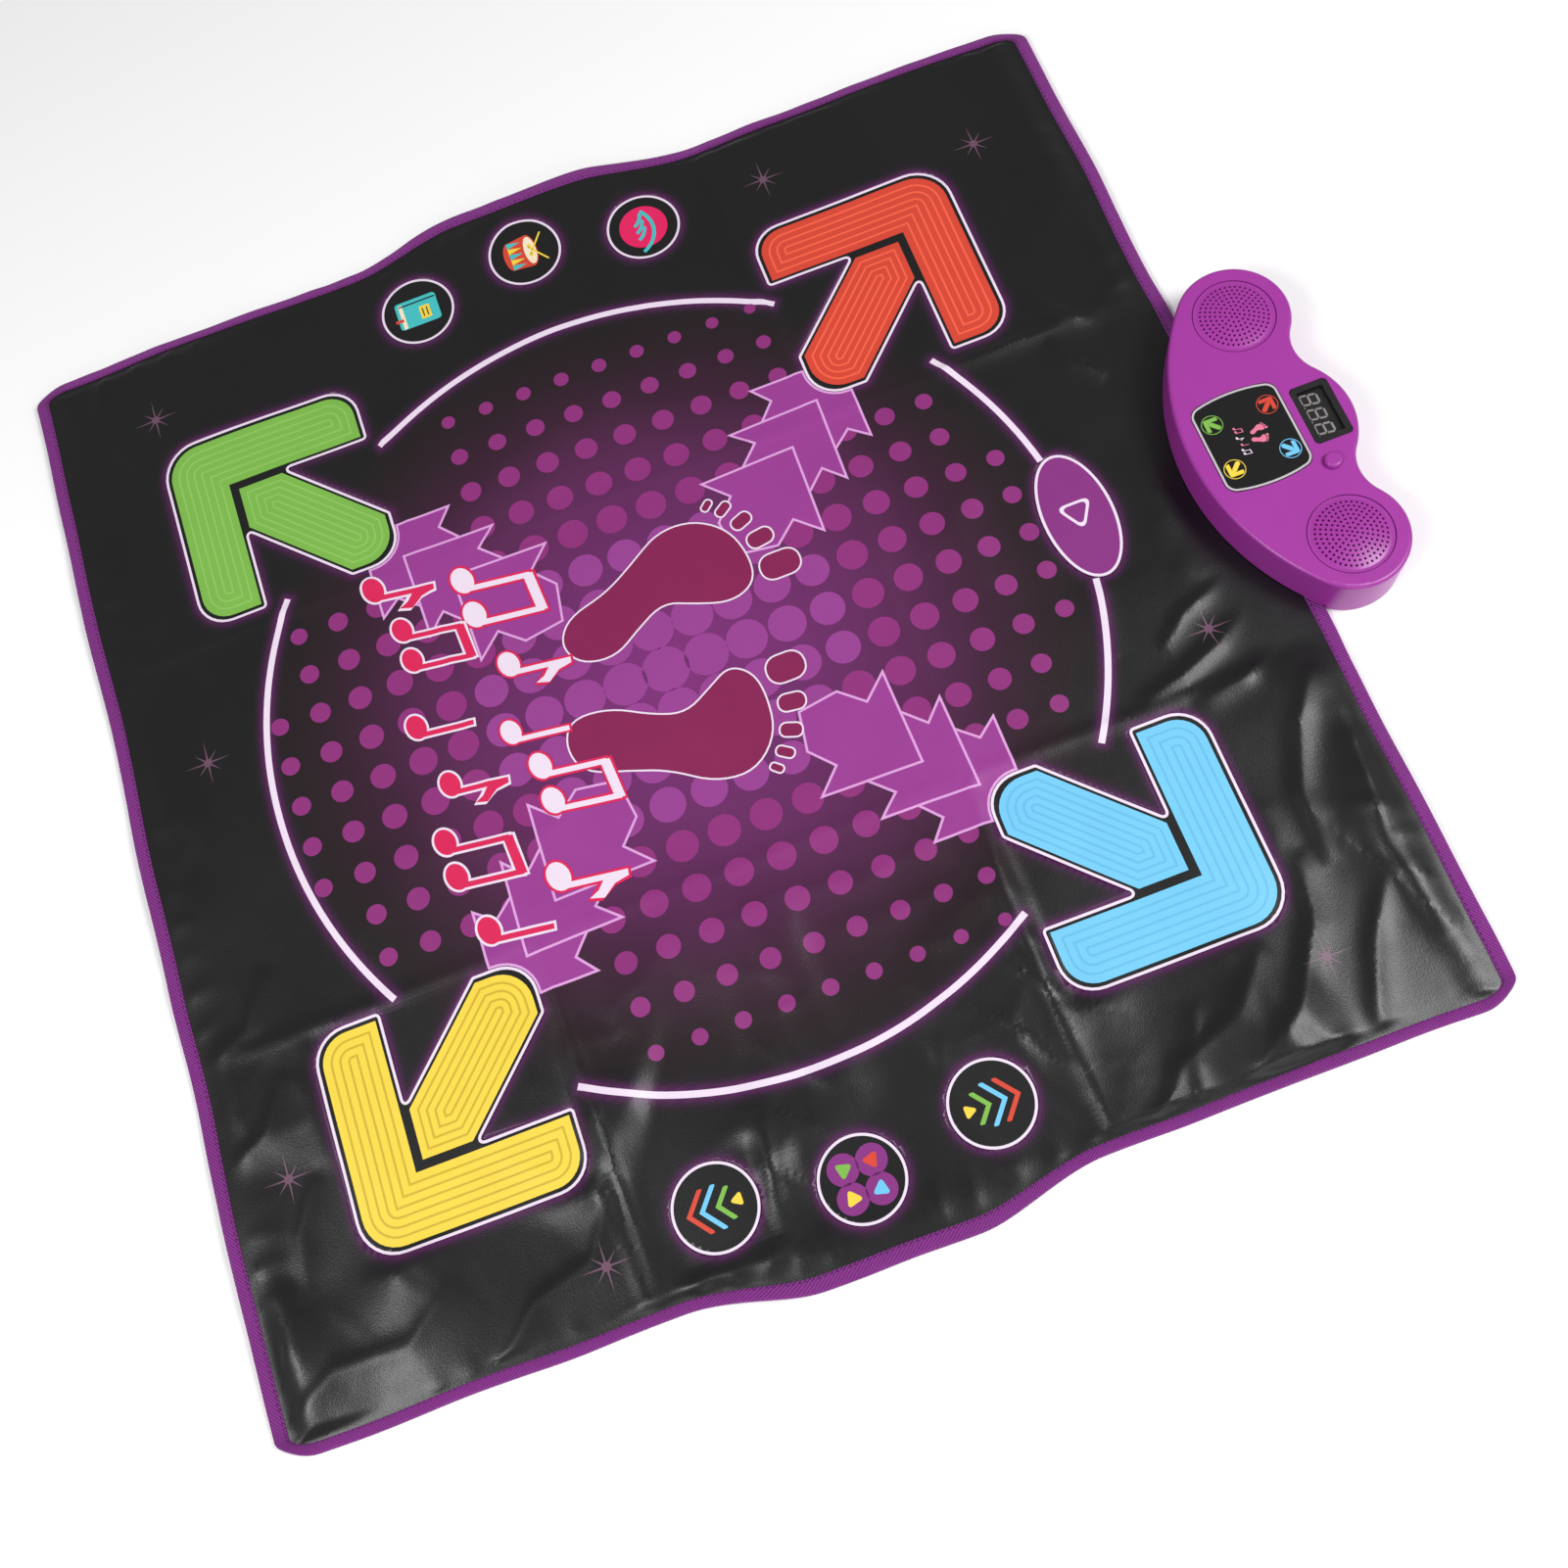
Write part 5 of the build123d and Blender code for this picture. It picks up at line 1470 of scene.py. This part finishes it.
def labelShapes():
    yield lineAlong(labelOutline(label["inset"]), label["border"]), "silverInk", 1
    corners = (("redInk", -1, 1, 90), ("blueInk", 1, 1, 0), ("greenInk", -1, -1, 180), ("yellowInk", 1, -1, 270))
    for inkName, x, y, turn in corners:
        spotX, spotY = x * label["iconX"], y * label["iconY"]
        yield placed(band(label["iconRing"], 0.6, 0, 360, 40), spotX, spotY), inkName, 1
        yield placed(arrowHead(), spotX, spotY, turn, label["iconSize"]), inkName, 2
        yield placed(arrowStem(), spotX, spotY, turn, label["iconSize"]), inkName, 2.2
        yield placed(slab(30, 30), *nudged(spotX, spotY, turn, 1.8), turn, label["iconSize"]), inkName, 2.4
    for body, toes in ((leftFoot, leftToes), (rightFoot, rightToes)):
        yield placed(smoothShape(body), 0.5, label["feetRise"], 0, label["feet"]), "labelFootInk", 2
        for x, y, halfX, halfY, turn in toes:
            toe = placed(slab(2 * halfX, 2 * halfY, halfX * 0.9, 3), x, y, turn)
            yield placed(toe, 0.5, label["feetRise"], 0, label["feet"]), "labelFootInk", 2
    for index, kind in enumerate(("pair", "eighth", "quarter", "pair")):
        for order, part in enumerate(noteParts(kind, 0.0)):
            x, y = -8.5 + 6.2 * index, -6.5 - 1.2 * (index % 2)
            inkName = "whiteInk" if index % 2 else "labelFootInk"
            yield placed(part, x, y, noteLook["turn"], label["noteSize"]), inkName, 2 + stagger * order


def digitShapes():
    # three unlit seven-part figures
    halfW, halfH, bar, gap = digits["width"] / 2, digits["height"] / 2, digits["bar"], digits["gap"]
    level = digits["width"] - bar - 2 * gap
    upright = halfH - bar / 2 - 2 * gap
    bars = [(0, halfH - bar / 2, 0, level), (0, 0, 0, level), (0, -halfH + bar / 2, 0, level)]
    bars += [(x * (halfW - bar / 2), y * (halfH - bar / 2) / 2, 90, upright) for x in (-1, 1) for y in (-1, 1)]
    for index in range(digits["count"]):
        shift = (index - (digits["count"] - 1) / 2) * digits["pitch"]
        for x, y, turn, length in bars:
            half = length / 2
            ends = [(-half, 0), (-half + bar / 2, -bar / 2), (half - bar / 2, -bar / 2), (half, 0),
                    (half - bar / 2, bar / 2), (-half + bar / 2, bar / 2)]
            lean = y * math.tan(math.radians(digits["slant"]))
            lift = y - digits["drop"]
            shape = placed(cornered(ends), x + lean + shift, lift, turn - (digits["slant"] if turn else 0))
            yield shape, "digitInk", 1
        yield placed(disc(0.8, segments=12), shift + halfW + 0.6, -halfH + 0.8 - digits["drop"]), "digitInk", 1


ink["silverInk"] = solidFinish("silverInk", {"colour": paint(194, 186, 192), "rough": 0.3, "mottle": 0.1})
ink["labelFootInk"] = solidFinish("labelFootInk", {"colour": paint(226, 120, 150), "rough": 0.3, "mottle": 0.1})
ink["digitInk"] = solidFinish("digitInk", {"colour": paint(196, 190, 184), "rough": 0.4, "mottle": 0.08})
pieceOf(labelShapes(), "label_art", "label_print", labelHigh.z, labelMiddle.x, labelMiddle.y)
windowLow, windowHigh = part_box("display_window")
windowMiddle = (windowLow + windowHigh) / 2
window = {"length": 49.4, "width": 29.6, "corner": 4.8, "mask": 4.7}


def maskShapes():
    x, y = window["length"] / 2, window["width"] / 2
    outline = cornered([(-x, -y), (x, -y), (x, y), (-x, y)], {corner: window["corner"] for corner in range(4)})
    yield lineAlong(outline, window["mask"]), "blackInk", 1


pieceOf(maskShapes(), "window_mask", "black_plastic", windowHigh.z, windowMiddle.x, windowMiddle.y)
pieceOf(digitShapes(), "display_digits", "led_lens", displayHigh.z, displayMiddle.x, displayMiddle.y)
print("label and display")
